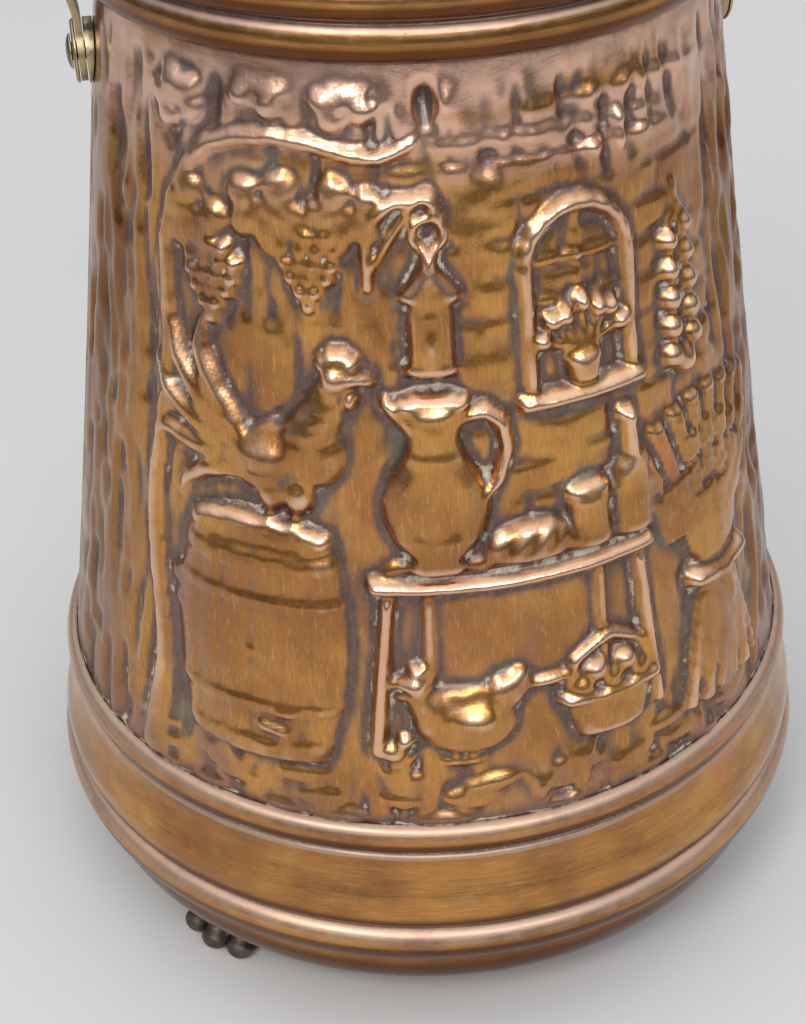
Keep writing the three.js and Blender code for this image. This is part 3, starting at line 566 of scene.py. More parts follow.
def sheaf(sheet, u, v, size=1.0):
    at = Motif(sheet, u, v, size)
    x, y = at.x, at.y
    for k in (-7, 7, -6, 6, -5, 5, -4, 4, -3, 3, -2, 2, -1, 1, 0):
        rise = math.sqrt(1 - (k / 8.5) ** 2)
        sway = 1.1 * math.sin(k * 2.3)
        stalk = [(k * 2.7 + sway, 0, 1.7), (k * 1.9, 22, 1.5), (k * 1.0, 44, 1.3), (k * 1.9, 60, 1.4),
                 (k * 2.7, 68, 1.1)]
        at.rod(stalk, 2.6 + 2.6 * rise, 0.35)
    for row, (count, start, reach) in enumerate(((8, 64, 18), (7, 74, 20), (8, 84, 17))):
        for k in range(count):
            share = (k - (count - 1) / 2) / ((count - 1) / 2)
            lean = share * 0.42
            foot = (share * (17 + row * 2.5), start - abs(share) * 6)
            for grain in range(6):
                along = grain * 3.0
                for side in (-1, 1):
                    spot = (foot[0] + math.sin(lean) * along + side * 1.5, foot[1] + math.cos(lean) * along)
                    lobe = blob(x, y, spot, (2.0, 1.25), 4.4 - abs(share) - 0.12 * grain,
                                math.pi / 2 - lean - side * 0.5)
                    sheet.lay(lobe, 0.28)
            tip = (foot[0] + math.sin(lean) * 17, foot[1] + math.cos(lean) * 17)
            for awn in (-0.16, 0.1):
                end = (tip[0] + math.sin(lean + awn) * 8, tip[1] + math.cos(lean + awn) * 8)
                at.thread([tip, end], 0.5, 0.5)
    at.rod([(-11, 42, 3.4), (0, 40.4, 3.6), (11, 43, 3.4)], 6.4, 0.9)
    for k in range(7):
        at.groove([(-10 + 3.2 * k, 39.2), (-8 + 3.2 * k, 44.6)], 0.6, 0.8)
    at.rod([(1, 40, 2.2), (5, 31, 1.9), (4, 24, 1.2)], 6.0, 0.6)


def arched_window(sheet, u, v):
    at = Motif(sheet, u, v)
    x, y = at.x, at.y
    inside = np.maximum(slab(x, y, [(-14, 0), (14, 0), (14, 34), (-14, 34)], 1),
                        blob(x, y, (0, 34), (14, 14), 1, fullness=0.2))
    sheet.score(0.9 * inside)
    for bar in ([(0, 1), (0, 47)], [(-13, 12), (13, 12)], [(-13, 24), (13, 24)], [(-13, 35), (13, 35)]):
        at.thread(bar, 1.1, 1.5)
    curve = [(-15.5, 0, 2.3), (-15.5, 34, 2.3)]
    curve += [(*p, 2.3) for p in arc((0, 34), 15.5, 180, 0, 14)[1:]] + [(15.5, 0, 2.3)]
    at.rod(curve, 2.7, 0.8)
    for k in range(9):
        a = math.radians(10 + 20 * k)
        joint = [(reach * math.cos(a), 34 + reach * math.sin(a)) for reach in (13.4, 17.6)]
        at.groove(joint, 0.5, 0.7)
    at.plate([(-20, -5), (20, -5), (20, 0.4), (-20, 0.4)], 4.0, 0.9, edge=1.5)
    at.vessel([(0.4, 4.2), (7, 5.6), (8.4, 6.2), (10, 6.2)], 4.2, 0.8)
    for k in range(7):
        spread = (k - 3) * 0.38
        tip = (math.sin(spread) * 13, 10 + math.cos(spread) * (11 + 2 * (k % 2)))
        at.rod([(math.sin(spread) * 2, 10, 0.9), (*tip, 0.8)], 2.4, 0.3)
        at.dome(tip, (2.6, 3.1), 4.0, 0.5, turn=-spread)
        at.groove([tip, (tip[0] + math.sin(spread), tip[1] + 2)], 0.5, 0.6)


def lantern(sheet, u, v, size=1.0):
    at = Motif(sheet, u, v, size)
    x, y = at.x, at.y
    at.rod([(-15, 40, 1.6), (-9, 46, 1.8), (0, 47, 1.8), (3, 43, 1.5)], 3.0, 0.7)
    at.rod([(-15, 28, 1.3), (-9, 38, 1.3), (-3, 46, 1.2)], 2.4, 0.5)
    at.plate([(-17.5, 22), (-13.8, 22), (-13.8, 50), (-17.5, 50)], 2.6, 0.6)
    ring = [(*p, 1.0) for p in arc((0, 38), 4.2, -90, 270, 12)]
    at.rod(ring, 3.4, 0.5)
    at.vessel([(0, 7.4), (2.5, 7.4), (3, 6), (20, 6), (20.6, 8.6), (23, 7.6), (28, 3.6), (29.5, 2.4),
               (34, 2.0)], 4.8, 1.0, fullness=0.4)
    for k in (-3.1, 3.1):
        at.groove([(k, 4.5), (k, 19)], 0.6, 0.9)
    sheet.score(line(x, y, [(-5.5, 4), (5.5, 4)], 0.5, 0.6)
                + line(x, y, [(-5.5, 19.6), (5.5, 19.6)], 0.5, 0.6))
    sheet.lift(blob(x, y, (0, 9.5), (1.5, 3.4), 0.8))


def leaf(sheet, u, v, size=1.0, turn=0.0):
    x, y = sheet.place(u, v, size)
    c, s = math.cos(turn), math.sin(turn)
    x, y = x * c + y * s, y * c - x * s
    lobes = [(0, 8), (0.9, 6.8), (-0.9, 6.8), (1.9, 5.4), (-1.9, 5.4)]
    shape = blob(x, y, (0, 1), (4, 4), 2.6)
    for angle, reach in lobes:
        spot = (math.sin(angle) * reach * 0.62, math.cos(angle) * reach * 0.62)
        shape = np.maximum(shape, blob(x, y, spot, (reach * 0.62, 3.0), 2.9, math.pi / 2 - angle))
    sheet.lay(shape, 0.7)
    for angle, reach in lobes:
        sheet.score(line(x, y, [(0, -1), (math.sin(angle) * reach, math.cos(angle) * reach)], 0.5, 0.7))


def grapes(sheet, u, v, size=1.0):
    at = Motif(sheet, u, v, size)
    for row, count in enumerate((1, 2, 3, 4, 4, 3)):
        for k in range(count):
            spot = ((k - (count - 1) / 2) * 4.6 + 0.5 * math.sin(row * 3 + k), row * 4.0)
            at.dome(spot, (2.6, 2.6), 3.4 + 0.5 * math.sin(row + 2 * k), 0.55)
    at.rod([(0, 22, 1.3), (1, 29, 1.1)], 2.4, 0.4)


def vine(sheet, path, leaves, bunches):
    x, y = sheet.place(0, 0)
    points = smooth_line([p[:2] for p in path], 22)
    widths = np.interp(np.linspace(0, 1, 23), np.linspace(0, 1, len(path)), [p[2] for p in path])
    girth = sheet.girth
    stem = np.zeros_like(x)
    for (a, b), (c, d), w0, w1 in zip(points, points[1:], widths, widths[1:]):
        stem = np.maximum(stem, strand(x / girth, y, [(a, b, w0), (c, d, w1)],
                                       3.4 * math.sqrt(max(w0, w1) / widths.max())))
    sheet.lay(stem, 0.8)
    twist = np.sin(sheet.across * 1.7 + 2.2 * np.sin(sheet.up * 0.11) + sheet.up * 0.16)
    sheet.score(0.55 * np.clip(twist, 0, 1) * np.clip(stem - 1.2, 0, 1))
    for u, v, size in bunches:
        grapes(sheet, u, v, size)
    for u, v, size, turn in leaves:
        leaf(sheet, u, v, size, turn)


def onions(sheet, u, v, size=1.0):
    at = Motif(sheet, u, v, size)
    at.rod([(0, 20, 1.5), (0.5, 52, 1.2)], 2.6, 0.5)
    for k in range(5):
        for side in (-1, 1):
            spot = (side * (4.4 - 0.3 * k), 6 + k * 8.2 + side * 1.6)
            at.dome(spot, (4.5 - 0.25 * k, 4.3 - 0.25 * k), 4.2, 0.7)
            at.rod([(spot[0], spot[1] + 3.4, 1.2), (0, spot[1] + 8, 0.7)], 3.2, 0.3)
            for bend in (-1, 1):
                at.groove([(spot[0] + bend * 1.6, spot[1] - 3), (spot[0] + bend * 2, spot[1] + 2)], 0.4,
                          0.3)
    at.dome((0, 1.5), (4.6, 4.6), 4.6, 0.7)


def skep(sheet, u, v, size=1.0):
    at = Motif(sheet, u, v, size)
    x, y = at.x, at.y
    profile = smooth_line([(0, 20), (8, 20.5), (18, 18.5), (27, 14), (33, 8), (36, 2.5)], 24)
    at.vessel(profile, 5.4, 1.0)
    coil = np.abs(np.sin(y * math.pi / 4.4))
    sheet.lift(0.7 * (coil - 0.6) * (turned(x, y, profile, 1) > 0.15))
    at.rod([(0, 36, 2), (0, 40, 1.4)], 3.6, 0.5)
    sheet.score(1.6 * blob(x, y, (0, 4), (3.4, 4.4), 1, fullness=0.3))


def fence(sheet, u, v, count):
    at = Motif(sheet, u, v)
    for level in (10, 26):
        at.rod([(-3, level, 1.6), (count * 9.5 - 6, level + 0.8, 1.6)], 2.2, 0.5)
    for k in range(count):
        mid, top = k * 9.5 + math.sin(k * 2.7), 32 + k % 2
        post = [(mid - 2.4, 0), (mid + 2.4, 0), (mid + 2.4, top), (mid, top + 4), (mid - 2.4, top)]
        at.plate(post, 3.2, 0.7, edge=1.4)


def tree(sheet, u, v):
    at = Motif(sheet, u, v)
    trunk = [(-2, 0, 15), (0, 14, 10.5), (1, 60, 9), (-2, 100, 7), (-8, 135, 4)]
    at.rod(trunk, 4.8, 1.0, fullness=0.4)
    at.rod([(1, 86, 6), (16, 110, 4.2), (30, 128, 2.6)], 4.4, 0.7)
    at.rod([(-3, 96, 5), (-20, 116, 3.6), (-34, 124, 2.2)], 4.2, 0.7)
    rng = np.random.default_rng(41)
    for _ in range(46):
        start, low = rng.uniform(-9, 9), rng.uniform(2, 84)
        crack = [(start, low), (start + rng.uniform(-1.2, 1.2), low + rng.uniform(8, 20))]
        at.groove(crack, 0.8, 0.8)
    for _ in range(64):
        turn, reach = rng.uniform(0, math.tau), math.sqrt(rng.uniform(0, 1))
        spot = (46 * reach * math.cos(turn), 142 + 24 * reach * math.sin(turn))
        size = rng.uniform(4, 6.6)
        at.dome(spot, (size, size * 0.8), rng.uniform(3.2, 5), 0.55, turn=rng.uniform(-0.6, 0.6))


# ------------------------------------------------------------------ grounds between the motifs

def bricks(sheet, left, right, low, high, seed, course=10.4, length=25.0):
    """Shallow joints of a brick wall, broken up and fading towards the edges."""
    x, y = sheet.place(0, 0)
    u = sheet.across + 1.2 * waves(sheet.across, sheet.up, 30, 18, seed)
    v = sheet.up + 0.9 * waves(sheet.across, sheet.up, 26, 20, seed + 1)
    row = np.floor(v / course)
    bed = np.abs(v / course - np.round(v / course)) * course
    shift = u / length + 0.5 * (row % 2)
    head = np.abs(shift - np.round(shift)) * length
    joint = np.maximum(np.exp(-(bed / 1.05) ** 2), np.exp(-(head / 1.05) ** 2))
    broken = ramp(waves(sheet.across, sheet.up, 9, 7, seed + 2), -0.5, 0.3)
    ragged = 7 * waves(sheet.across, sheet.up, 11, 9, seed + 3)
    area = (ramp(sheet.across + ragged, left, left + 6) * ramp(-sheet.across + ragged, -right, 6 - right)
            * ramp(sheet.up + ragged, low, low + 6) * ramp(-sheet.up + ragged, -high, 6 - high))
    sheet.score(1.15 * joint * broken * area)
    sheet.lift(0.3 * waves(sheet.across, sheet.up, 8, 4, seed + 4) * area)


def gouges(sheet, count, area, depth, seed, long=(10, 34), slant=0.08):
    """Upright punched marks like bark, scattered where the area function allows."""
    rng = np.random.default_rng(seed)
    wide = (sheet.across.min(), sheet.across.max())
    tall = (sheet.up.min(), sheet.up.max())
    for _ in range(count):
        u, v = rng.uniform(*wide), rng.uniform(*tall)
        half, width = rng.uniform(*long) / 2, rng.uniform(1.0, 2.8)
        lean, strength, chance = rng.uniform(-slant, slant), rng.uniform(0.4, 1), rng.uniform(0, 1)
        if chance > area(u, v):
            continue
        away = (sheet.across - u - lean * (sheet.up - v)) * sheet.girth / width
        within = np.clip(1 - ((sheet.up - v) / half) ** 2, 0, None) ** 0.7
        sheet.score(depth * strength * np.exp(-away ** 4) * within)
        sheet.lift(0.35 * depth * strength * np.exp(-(away - 1.7) ** 2) * within)


def ground(sheet, left, right, top, seed):
    """Cobbles and tufts of grass under the motifs."""
    rng = np.random.default_rng(seed)
    level = 2.0
    while level < top:
        u = left + rng.uniform(0, 8)
        while u < right:
            wide, tall = rng.uniform(6, 11), rng.uniform(2.8, 4.0)
            x, y = sheet.place(u, level + rng.uniform(-1, 1))
            sheet.lay(blob(x, y, (0, 0), (wide, tall), rng.uniform(1.0, 1.9), rng.uniform(-0.15, 0.15)),
                      0.4)
            u += wide * 2 + rng.uniform(1, 10)
        level += rng.uniform(5.6, 7.4)
    for _ in range(12):
        u, v = rng.uniform(left, right), rng.uniform(2, top + 4)
        x, y = sheet.place(u, v)
        for blade in range(4):
            lean = (blade - 1.5) * 1.6 + rng.uniform(-0.5, 0.5)
            sheet.lay(strand(x, y, [(lean * 0.3, 0, 1.1), (lean, 5, 0.9), (lean * 2.2, 9.5, 0.5)], 1.6),
                      0.4)


def front_picture(sheet, depth):
    """Farmyard table with a cask, a rooster, a hen and a sheaf in front of a brick wall."""
    u, v = sheet.across, sheet.up
    sheet.lift(0.45 * waves(u, v, 17, 34, 3) + 0.25 * waves(u, v, 7, 13, 4) + 0.08 * waves(u, v, 2.6, 5, 5))
    bricks(sheet, -30, 90, 86, 206, 11)
    in_picture = lambda a, b: -96 < a < 86 and 22 < b < 196
    gouges(sheet, 900, lambda a, b: 0.0 if in_picture(a, b) else 0.9, depth, 21)
    gouges(sheet, 260, lambda a, b: 1.0 if -95 < a < -26 and 96 < b < 200 else 0.0, depth * 0.8, 22,
           (9, 24))
    for k, (left, right, level) in enumerate(((-12, 52, 201), (14, 80, 208), (20, 66, 195))):
        x, y = sheet.place(left, level)
        sheet.lift(strand(x, y, [(0, 0, 1.2), ((right - left) * 0.5, 0.8, 3.0), (right - left, -0.6, 1.0)],
                          1.0 + 0.1 * k, 0.8))
    ground(sheet, -100, 84, 20, 31)
    path = [(-99, 6, 5.2), (-97, 26, 4.0), (-96, 46, 3.7), (-101, 90, 3.5), (-95, 134, 3.3),
            (-97, 172, 3.0),
            (-84, 196, 2.7), (-58, 203, 2.3), (-30, 199, 1.9), (-17, 203, 1.0)]
    vine(sheet, path,
         [(-84, 181, 1.5, 2.5), (-62, 187, 1.6, -2.9), (-36, 187, 1.45, 2.8), (-92, 206, 1.3, 0.35),
          (-64, 213, 1.2, -0.3), (-37, 211, 1.2, 0.3), (-89, 118, 1.35, -1.5), (-88, 66, 1.2, -1.4)],
         [(-79, 152, 1.0), (-48, 160, 0.95)])
    lantern(sheet, -14, 142, 1.0)
    arched_window(sheet, 30, 133)
    onions(sheet, 67, 126, 1.0)
    table(sheet, 8, 79)
    pitcher(sheet, -14, 84.5, 1.0)
    loaf(sheet, 12, 85)
    mug(sheet, 29, 84.5, 1.0)
    bottle(sheet, 43, 84, 0.95)
    basket(sheet, 32, 23, 1.0)
    hen(sheet, -8, 22, 1.05, -1)
    chick(sheet, -27, 22, 1)
    cask(sheet, -64, 20, 1.0)
    rooster(sheet, -57, 95, 0.98)
    sheaf(sheet, 74, 16, 1.0)


def rear_picture(sheet, depth):
    """An apple tree with bee skeps, a fence and a sheaf behind the farm."""
    u, v = sheet.across, sheet.up
    sheet.lift(0.45 * waves(u, v, 17, 34, 53) + 0.25 * waves(u, v, 7, 13, 54) + 0.08
               * waves(u, v, 2.6, 5, 55))
    in_picture = lambda a, b: -92 < a < 92 and 22 < b < 180
    gouges(sheet, 900, lambda a, b: 0.0 if in_picture(a, b) else 0.9, depth, 61)
    bricks(sheet, -88, -18, 90, 176, 71)
    ground(sheet, -96, 96, 20, 81)
    fence(sheet, 26, 40, 7)
    tree(sheet, 4, 18)
    arched_window(sheet, -58, 126)
    x, y = sheet.place(58, 56)
    sheet.lay(slab(x, y, [(-27, -3), (27, -3), (27, 2), (-27, 2)], 4.4, 1.5), 0.9)
    for foot in (-22, 22):
        sheet.lay(slab(x, y, [(foot - 2.4, -34), (foot + 2.4, -34), (foot + 2.4, -3), (foot - 2.4, -3)],
                       3.8, 1.6), 0.8)
    skep(sheet, 58, 58, 1.0)
    basket(sheet, 58, 22, 0.8)
    sheaf(sheet, -70, 16, 0.98)
    hen(sheet, -34, 20, 1.0, 1)
    chick(sheet, -16, 20, -1)
    leaf(sheet, 76, 150, 1.1, 0.4)
    leaf(sheet, -84, 186, 1.1, -0.4)


# ------------------------------------------------------------------ the wall

def pulled(share, pull):
    """Spreads steps from -1 to 1 so that they lie closer together in the middle."""
    return share * (1 - pull) + share ** 3 * pull


def grid_indices(bm, layer_size):
    """Column and row of every point of a fresh grid of the given segments."""
    columns, rows = layer_size
    places = np.array([v.co for v in bm.verts])
    return (np.rint((places[:, 0] + 1) / 2 * columns).astype(int),
            np.rint((places[:, 1] + 1) / 2 * rows).astype(int))


def side_of(points, ids, size, side, far):
    """The points along one side of a grid, in order; side 0 is a column, side 1 a row."""
    picked = np.flatnonzero(ids[side] == (size[side] if far else 0))
    return [(ids[1 - side][k], points[k]) for k in picked[np.argsort(ids[1 - side][picked])]]


def stitch(bm, first, second, first_marks, second_marks):
    """Fills the strip between two rows of points, pairing them by their marks."""
    i = j = 0
    while i < len(first) - 1 or j < len(second) - 1:
        ahead = first_marks[first[i + 1][0]] if i < len(first) - 1 else math.inf
        beside = second_marks[second[j + 1][0]] if j < len(second) - 1 else math.inf
        if ahead <= beside:
            bm.faces.new((first[i][1], first[i + 1][1], second[j][1]))
            i += 1
        else:
            bm.faces.new((first[i][1], second[j + 1][1], second[j][1]))
            j += 1


class WallSheet:
    """One half of the wall: a fine embossed outer face and a coarser face inside."""

    def __init__(self, middle, size, lapped_under):
        self.middle = middle
        self.size = size
        self.under = lapped_under

    def grid(self, columns, rows):
        """Azimuth from the middle and level of every column and row."""
        turn = LAP_SPAN * pulled(np.linspace(-1, 1, columns + 1), 0.22)
        low, high = FOOT_LEVEL - WALL_TUCK[0], RIM_LEVEL + WALL_TUCK[1]
        ends = 3 if rows > 100 else 1
        level = np.concatenate([
            np.linspace(low, FOOT_LEVEL - 1, ends, endpoint=False),
            np.linspace(FOOT_LEVEL - 1, RIM_LEVEL + 1, rows + 1 - 2 * ends),
            np.linspace(RIM_LEVEL + 1, high, ends + 1)[1:]])
        return np.meshgrid(turn, level, indexing="ij")

    def place(self, turn, level, height):
        radius = wall_radius(level) + height
        if self.under:
            from_seam = 90 - np.abs(turn)
            radius = radius - LAP_STEP * (1 - ramp(np.abs(from_seam), *LAP_JOGGLE))
        angle = np.radians(self.middle + turn)
        return np.stack([radius * np.cos(angle), radius * np.sin(angle), level], -1) * MM

    def emboss(self, picture, share, depth):
        turn, level = self.grid(*self.size)
        sheet = Embossing(np.radians(turn) * MEAN_GIRTH, level - FOOT_LEVEL)
        picture(sheet, depth)
        sheet.lift(0.22 * waves(sheet.across, sheet.up, 9, 11, 7) + 0.12
                   * waves(sheet.across, sheet.up, 4, 5, 8))
        height = soften(sheet.height, 2)
        top = RIM_LEVEL - FOOT_LEVEL
        calm = ramp(sheet.up, -0.5, 2.5) * ramp(-sheet.up, 3 - top, 12 - top)
        from_pivot = np.hypot((90 - np.abs(turn)) * math.pi / 180 * 90, level - PIVOT_LEVEL)
        calm = calm * ramp(from_pivot, 11, 19)
        seam = (14.0, 20.0) if self.under else (-4.0, -1.0)
        calm = calm * ramp(90 - np.abs(turn), *seam)
        calm = calm * (1 - 0.75 * ramp(np.abs(turn), 62, 84) * (height > 0))
        return turn, level, height * calm * share

    def build(self, name, picture, share, depth):
        turn, level, height = self.emboss(picture, share, depth)
        inner_size = (self.size[0] // 4, self.size[1] // 6)
        inner_turn, inner_level = self.grid(*inner_size)
        deepest = -soften(np.maximum(-height, 0), 4) - 0.15
        near = np.abs(turn[:, :1] - inner_turn[:, :1].T).argmin(0)
        rows = np.abs(level[:1, :].T - inner_level[:1, :]).argmin(0)
        bulge = 0.4 * soften(np.maximum(height, 0), 12)
        inner_height = (deepest + bulge)[np.ix_(near, rows)] - SHEET
        inner_height = np.minimum(inner_height, height[np.ix_(near, rows)] - 0.7 * SHEET)

        bm = bmesh.new()
        bmesh.ops.create_grid(bm, x_segments=self.size[0], y_segments=self.size[1], size=1)
        outer_ids = grid_indices(bm, self.size)
        inner = bmesh.new()
        bmesh.ops.create_grid(inner, x_segments=inner_size[0], y_segments=inner_size[1], size=1)
        inner_ids = grid_indices(inner, inner_size)
        outer_places = self.place(turn, level, height)[outer_ids]
        inner_places = self.place(inner_turn, inner_level, inner_height)[inner_ids]
        outer_count = len(bm.verts)
        mesh = bpy.data.meshes.new("inner_face")
        inner.to_mesh(mesh)
        inner.free()
        bm.from_mesh(mesh)
        bpy.data.meshes.remove(mesh)
        bm.verts.ensure_lookup_table()
        points = list(bm.verts)
        outer_marks, inner_marks = (level[0], turn[:, 0]), (inner_level[0], inner_turn[:, 0])
        for side in (0, 1):
            for far in (False, True):
                stitch(bm, side_of(points[:outer_count], outer_ids, self.size, side, far),
                       side_of(points[outer_count:], inner_ids, inner_size, side, far),
                       outer_marks[side], inner_marks[side])
        for vertex, place in zip(bm.verts, np.concatenate([outer_places, inner_places])):
            vertex.co = place
        bmesh.ops.recalc_face_normals(bm, faces=bm.faces[:])
        piece = to_piece(bm, name)
        self.mark(piece, turn, level, height, outer_ids, outer_count)
        return piece

    def mark(self, piece, turn, level, height, ids, count):
        """Stores where the sheet is rubbed, where dirt collects, where it slopes upward (for a painted
        highlight), how far round it lies towards its sides (for a painted shade) and which points are
        inside.
        """
        fine = height - soften(height, 8)
        broad = height - soften(height, 50)
        proud = np.clip(0.8 * fine + 0.2 * broad - 0.15, 0, 1)
        hollow = np.clip(-1.0 * fine - 0.42 * broad, 0, 1)
        crease = np.clip(3.0 * (soften(height, 2) - height) - 0.2, 0, 1)
        crease = np.maximum(crease, np.exp(-((level - FOOT_LEVEL - 0.8) / 0.9) ** 2))
        hollow = np.maximum(hollow, 0.8 * np.exp(-((level - FOOT_LEVEL) / 4) ** 2))
        hollow = np.maximum(hollow, 0.6 * np.exp(-((level - RIM_LEVEL) / 1.6) ** 2))
        # top: where the relief slopes face upward; it drives a painted highlight in the copper finish
        slope = np.gradient(height, axis=1) / np.gradient(level, axis=1)
        top = np.clip(-1.1 * slope - 0.1, 0, 1)
        # side: rises towards the sheet's edges round the bucket, away from the camera; it drives a painted
        # shade in the copper finish
        side = np.maximum(ramp(turn, 38, 72), 0.75 * ramp(-turn, 48, 80))
        total = len(piece.data.vertices)
        marks = {"proud": proud, "hollow": hollow, "crease": crease, "top": top, "side": side}
        for name, values in marks.items():
            spread = np.zeros(total)
            spread[:count] = values[ids]
            write_values(piece.data, name, spread)
        inside = np.ones(total)
        inside[:count] = 0
        write_values(piece.data, "inner", inside)


# ------------------------------------------------------------------ finishes

class Finish:
    """Builds a node material step by step."""

    def __init__(self, name):
        self.material = bpy.data.materials.new(name)
        self.material.use_nodes = True
        self.tree = self.material.node_tree
        self.tree.nodes.clear()
        self.shader = self.add("ShaderNodeBsdfPrincipled")
        output = self.add("ShaderNodeOutputMaterial")
        self.tree.links.new(self.shader.outputs["BSDF"], output.inputs["Surface"])
        self.place = self.add("ShaderNodeTexCoord").outputs["Object"]
        self.colour = None

    def add(self, kind, **settings):
        node = self.tree.nodes.new(kind)
        for name, value in settings.items():
            setattr(node, name, value)
        return node

    def put(self, socket, value):
        if isinstance(value, bpy.types.NodeSocket):
            self.tree.links.new(value, socket)
        elif socket.type == "RGBA":
            socket.default_value = (*tuple(value)[:3], 1.0)
        else:
            socket.default_value = value

    def stretched(self, scale, offset=(0, 0, 0)):
        node = self.add("ShaderNodeMapping")
        self.put(node.inputs["Vector"], self.place)
        node.inputs["Scale"].default_value = scale
        node.inputs["Location"].default_value = offset
        return node.outputs["Vector"]

    def noise(self, scale, detail=3.0, roughness=0.55, vector=None, distortion=0.0):
        node = self.add("ShaderNodeTexNoise")
        self.put(node.inputs["Vector"], vector or self.place)
        node.inputs["Scale"].default_value = scale
        node.inputs["Detail"].default_value = detail
        node.inputs["Roughness"].default_value = roughness
        node.inputs["Distortion"].default_value = distortion
        return node.outputs["Fac"]

    def cells(self, scale, vector=None, feature="F1"):
        node = self.add("ShaderNodeTexVoronoi", feature=feature)
        self.put(node.inputs["Vector"], vector or self.place)
        node.inputs["Scale"].default_value = scale
        return node.outputs["Distance"]

    def attribute(self, name):
        return self.add("ShaderNodeAttribute", attribute_name=name).outputs["Fac"]

    def band(self, value, low, high, start=0.0, end=1.0):
        node = self.add("ShaderNodeMapRange", interpolation_type="SMOOTHSTEP", clamp=True)
        self.put(node.inputs["Value"], value)
        for name, number in (("From Min", low), ("From Max", high), ("To Min", start), ("To Max", end)):
            node.inputs[name].default_value = number
        return node.outputs["Result"]

    def sum(self, first, second, operation="ADD", clamp=False):
        node = self.add("ShaderNodeMath", operation=operation, use_clamp=clamp)
        self.put(node.inputs[0], first)
        self.put(node.inputs[1], second)
        return node.outputs["Value"]

    def times(self, first, second):
        return self.sum(first, second, "MULTIPLY")

    def blend(self, share, under, over, mode="MIX"):
        node = self.add("ShaderNodeMix", data_type="RGBA", blend_type=mode)
        self.put(node.inputs["Factor"], share)
        self.put(node.inputs[6], under)
        self.put(node.inputs[7], over)
        return node.outputs[2]

    def paint(self, share, over):
        """Lays another colour over what the finish has so far."""
        self.colour = self.blend(share, self.colour, over)

    def level(self, share, under, over):
        node = self.add("ShaderNodeMix", data_type="FLOAT")
        self.put(node.inputs["Factor"], share)
        self.put(node.inputs[2], under)
        self.put(node.inputs[3], over)
        return node.outputs[0]

    def ramp_up(self, low, high):
        """Rises or falls from 0 to 1 between two levels in metres."""
        split = self.add("ShaderNodeSeparateXYZ")
        self.put(split.inputs[0], self.place)
        return self.band(split.outputs["Z"], low, high)

    def bump(self, height, distance, strength=1.0, under=None):
        node = self.add("ShaderNodeBump")
        self.put(node.inputs["Height"], height)
        node.inputs["Distance"].default_value = distance
        node.inputs["Strength"].default_value = strength
        if under is not None:
            self.put(node.inputs["Normal"], under)
        return node.outputs["Normal"]

    def done(self, roughness, normal, metallic=1.0):
        self.put(self.shader.inputs["Base Color"], self.colour)
        self.put(self.shader.inputs["Roughness"], roughness)
        self.put(self.shader.inputs["Normal"], normal)
        self.put(self.shader.inputs["Metallic"], metallic)
        return self.material


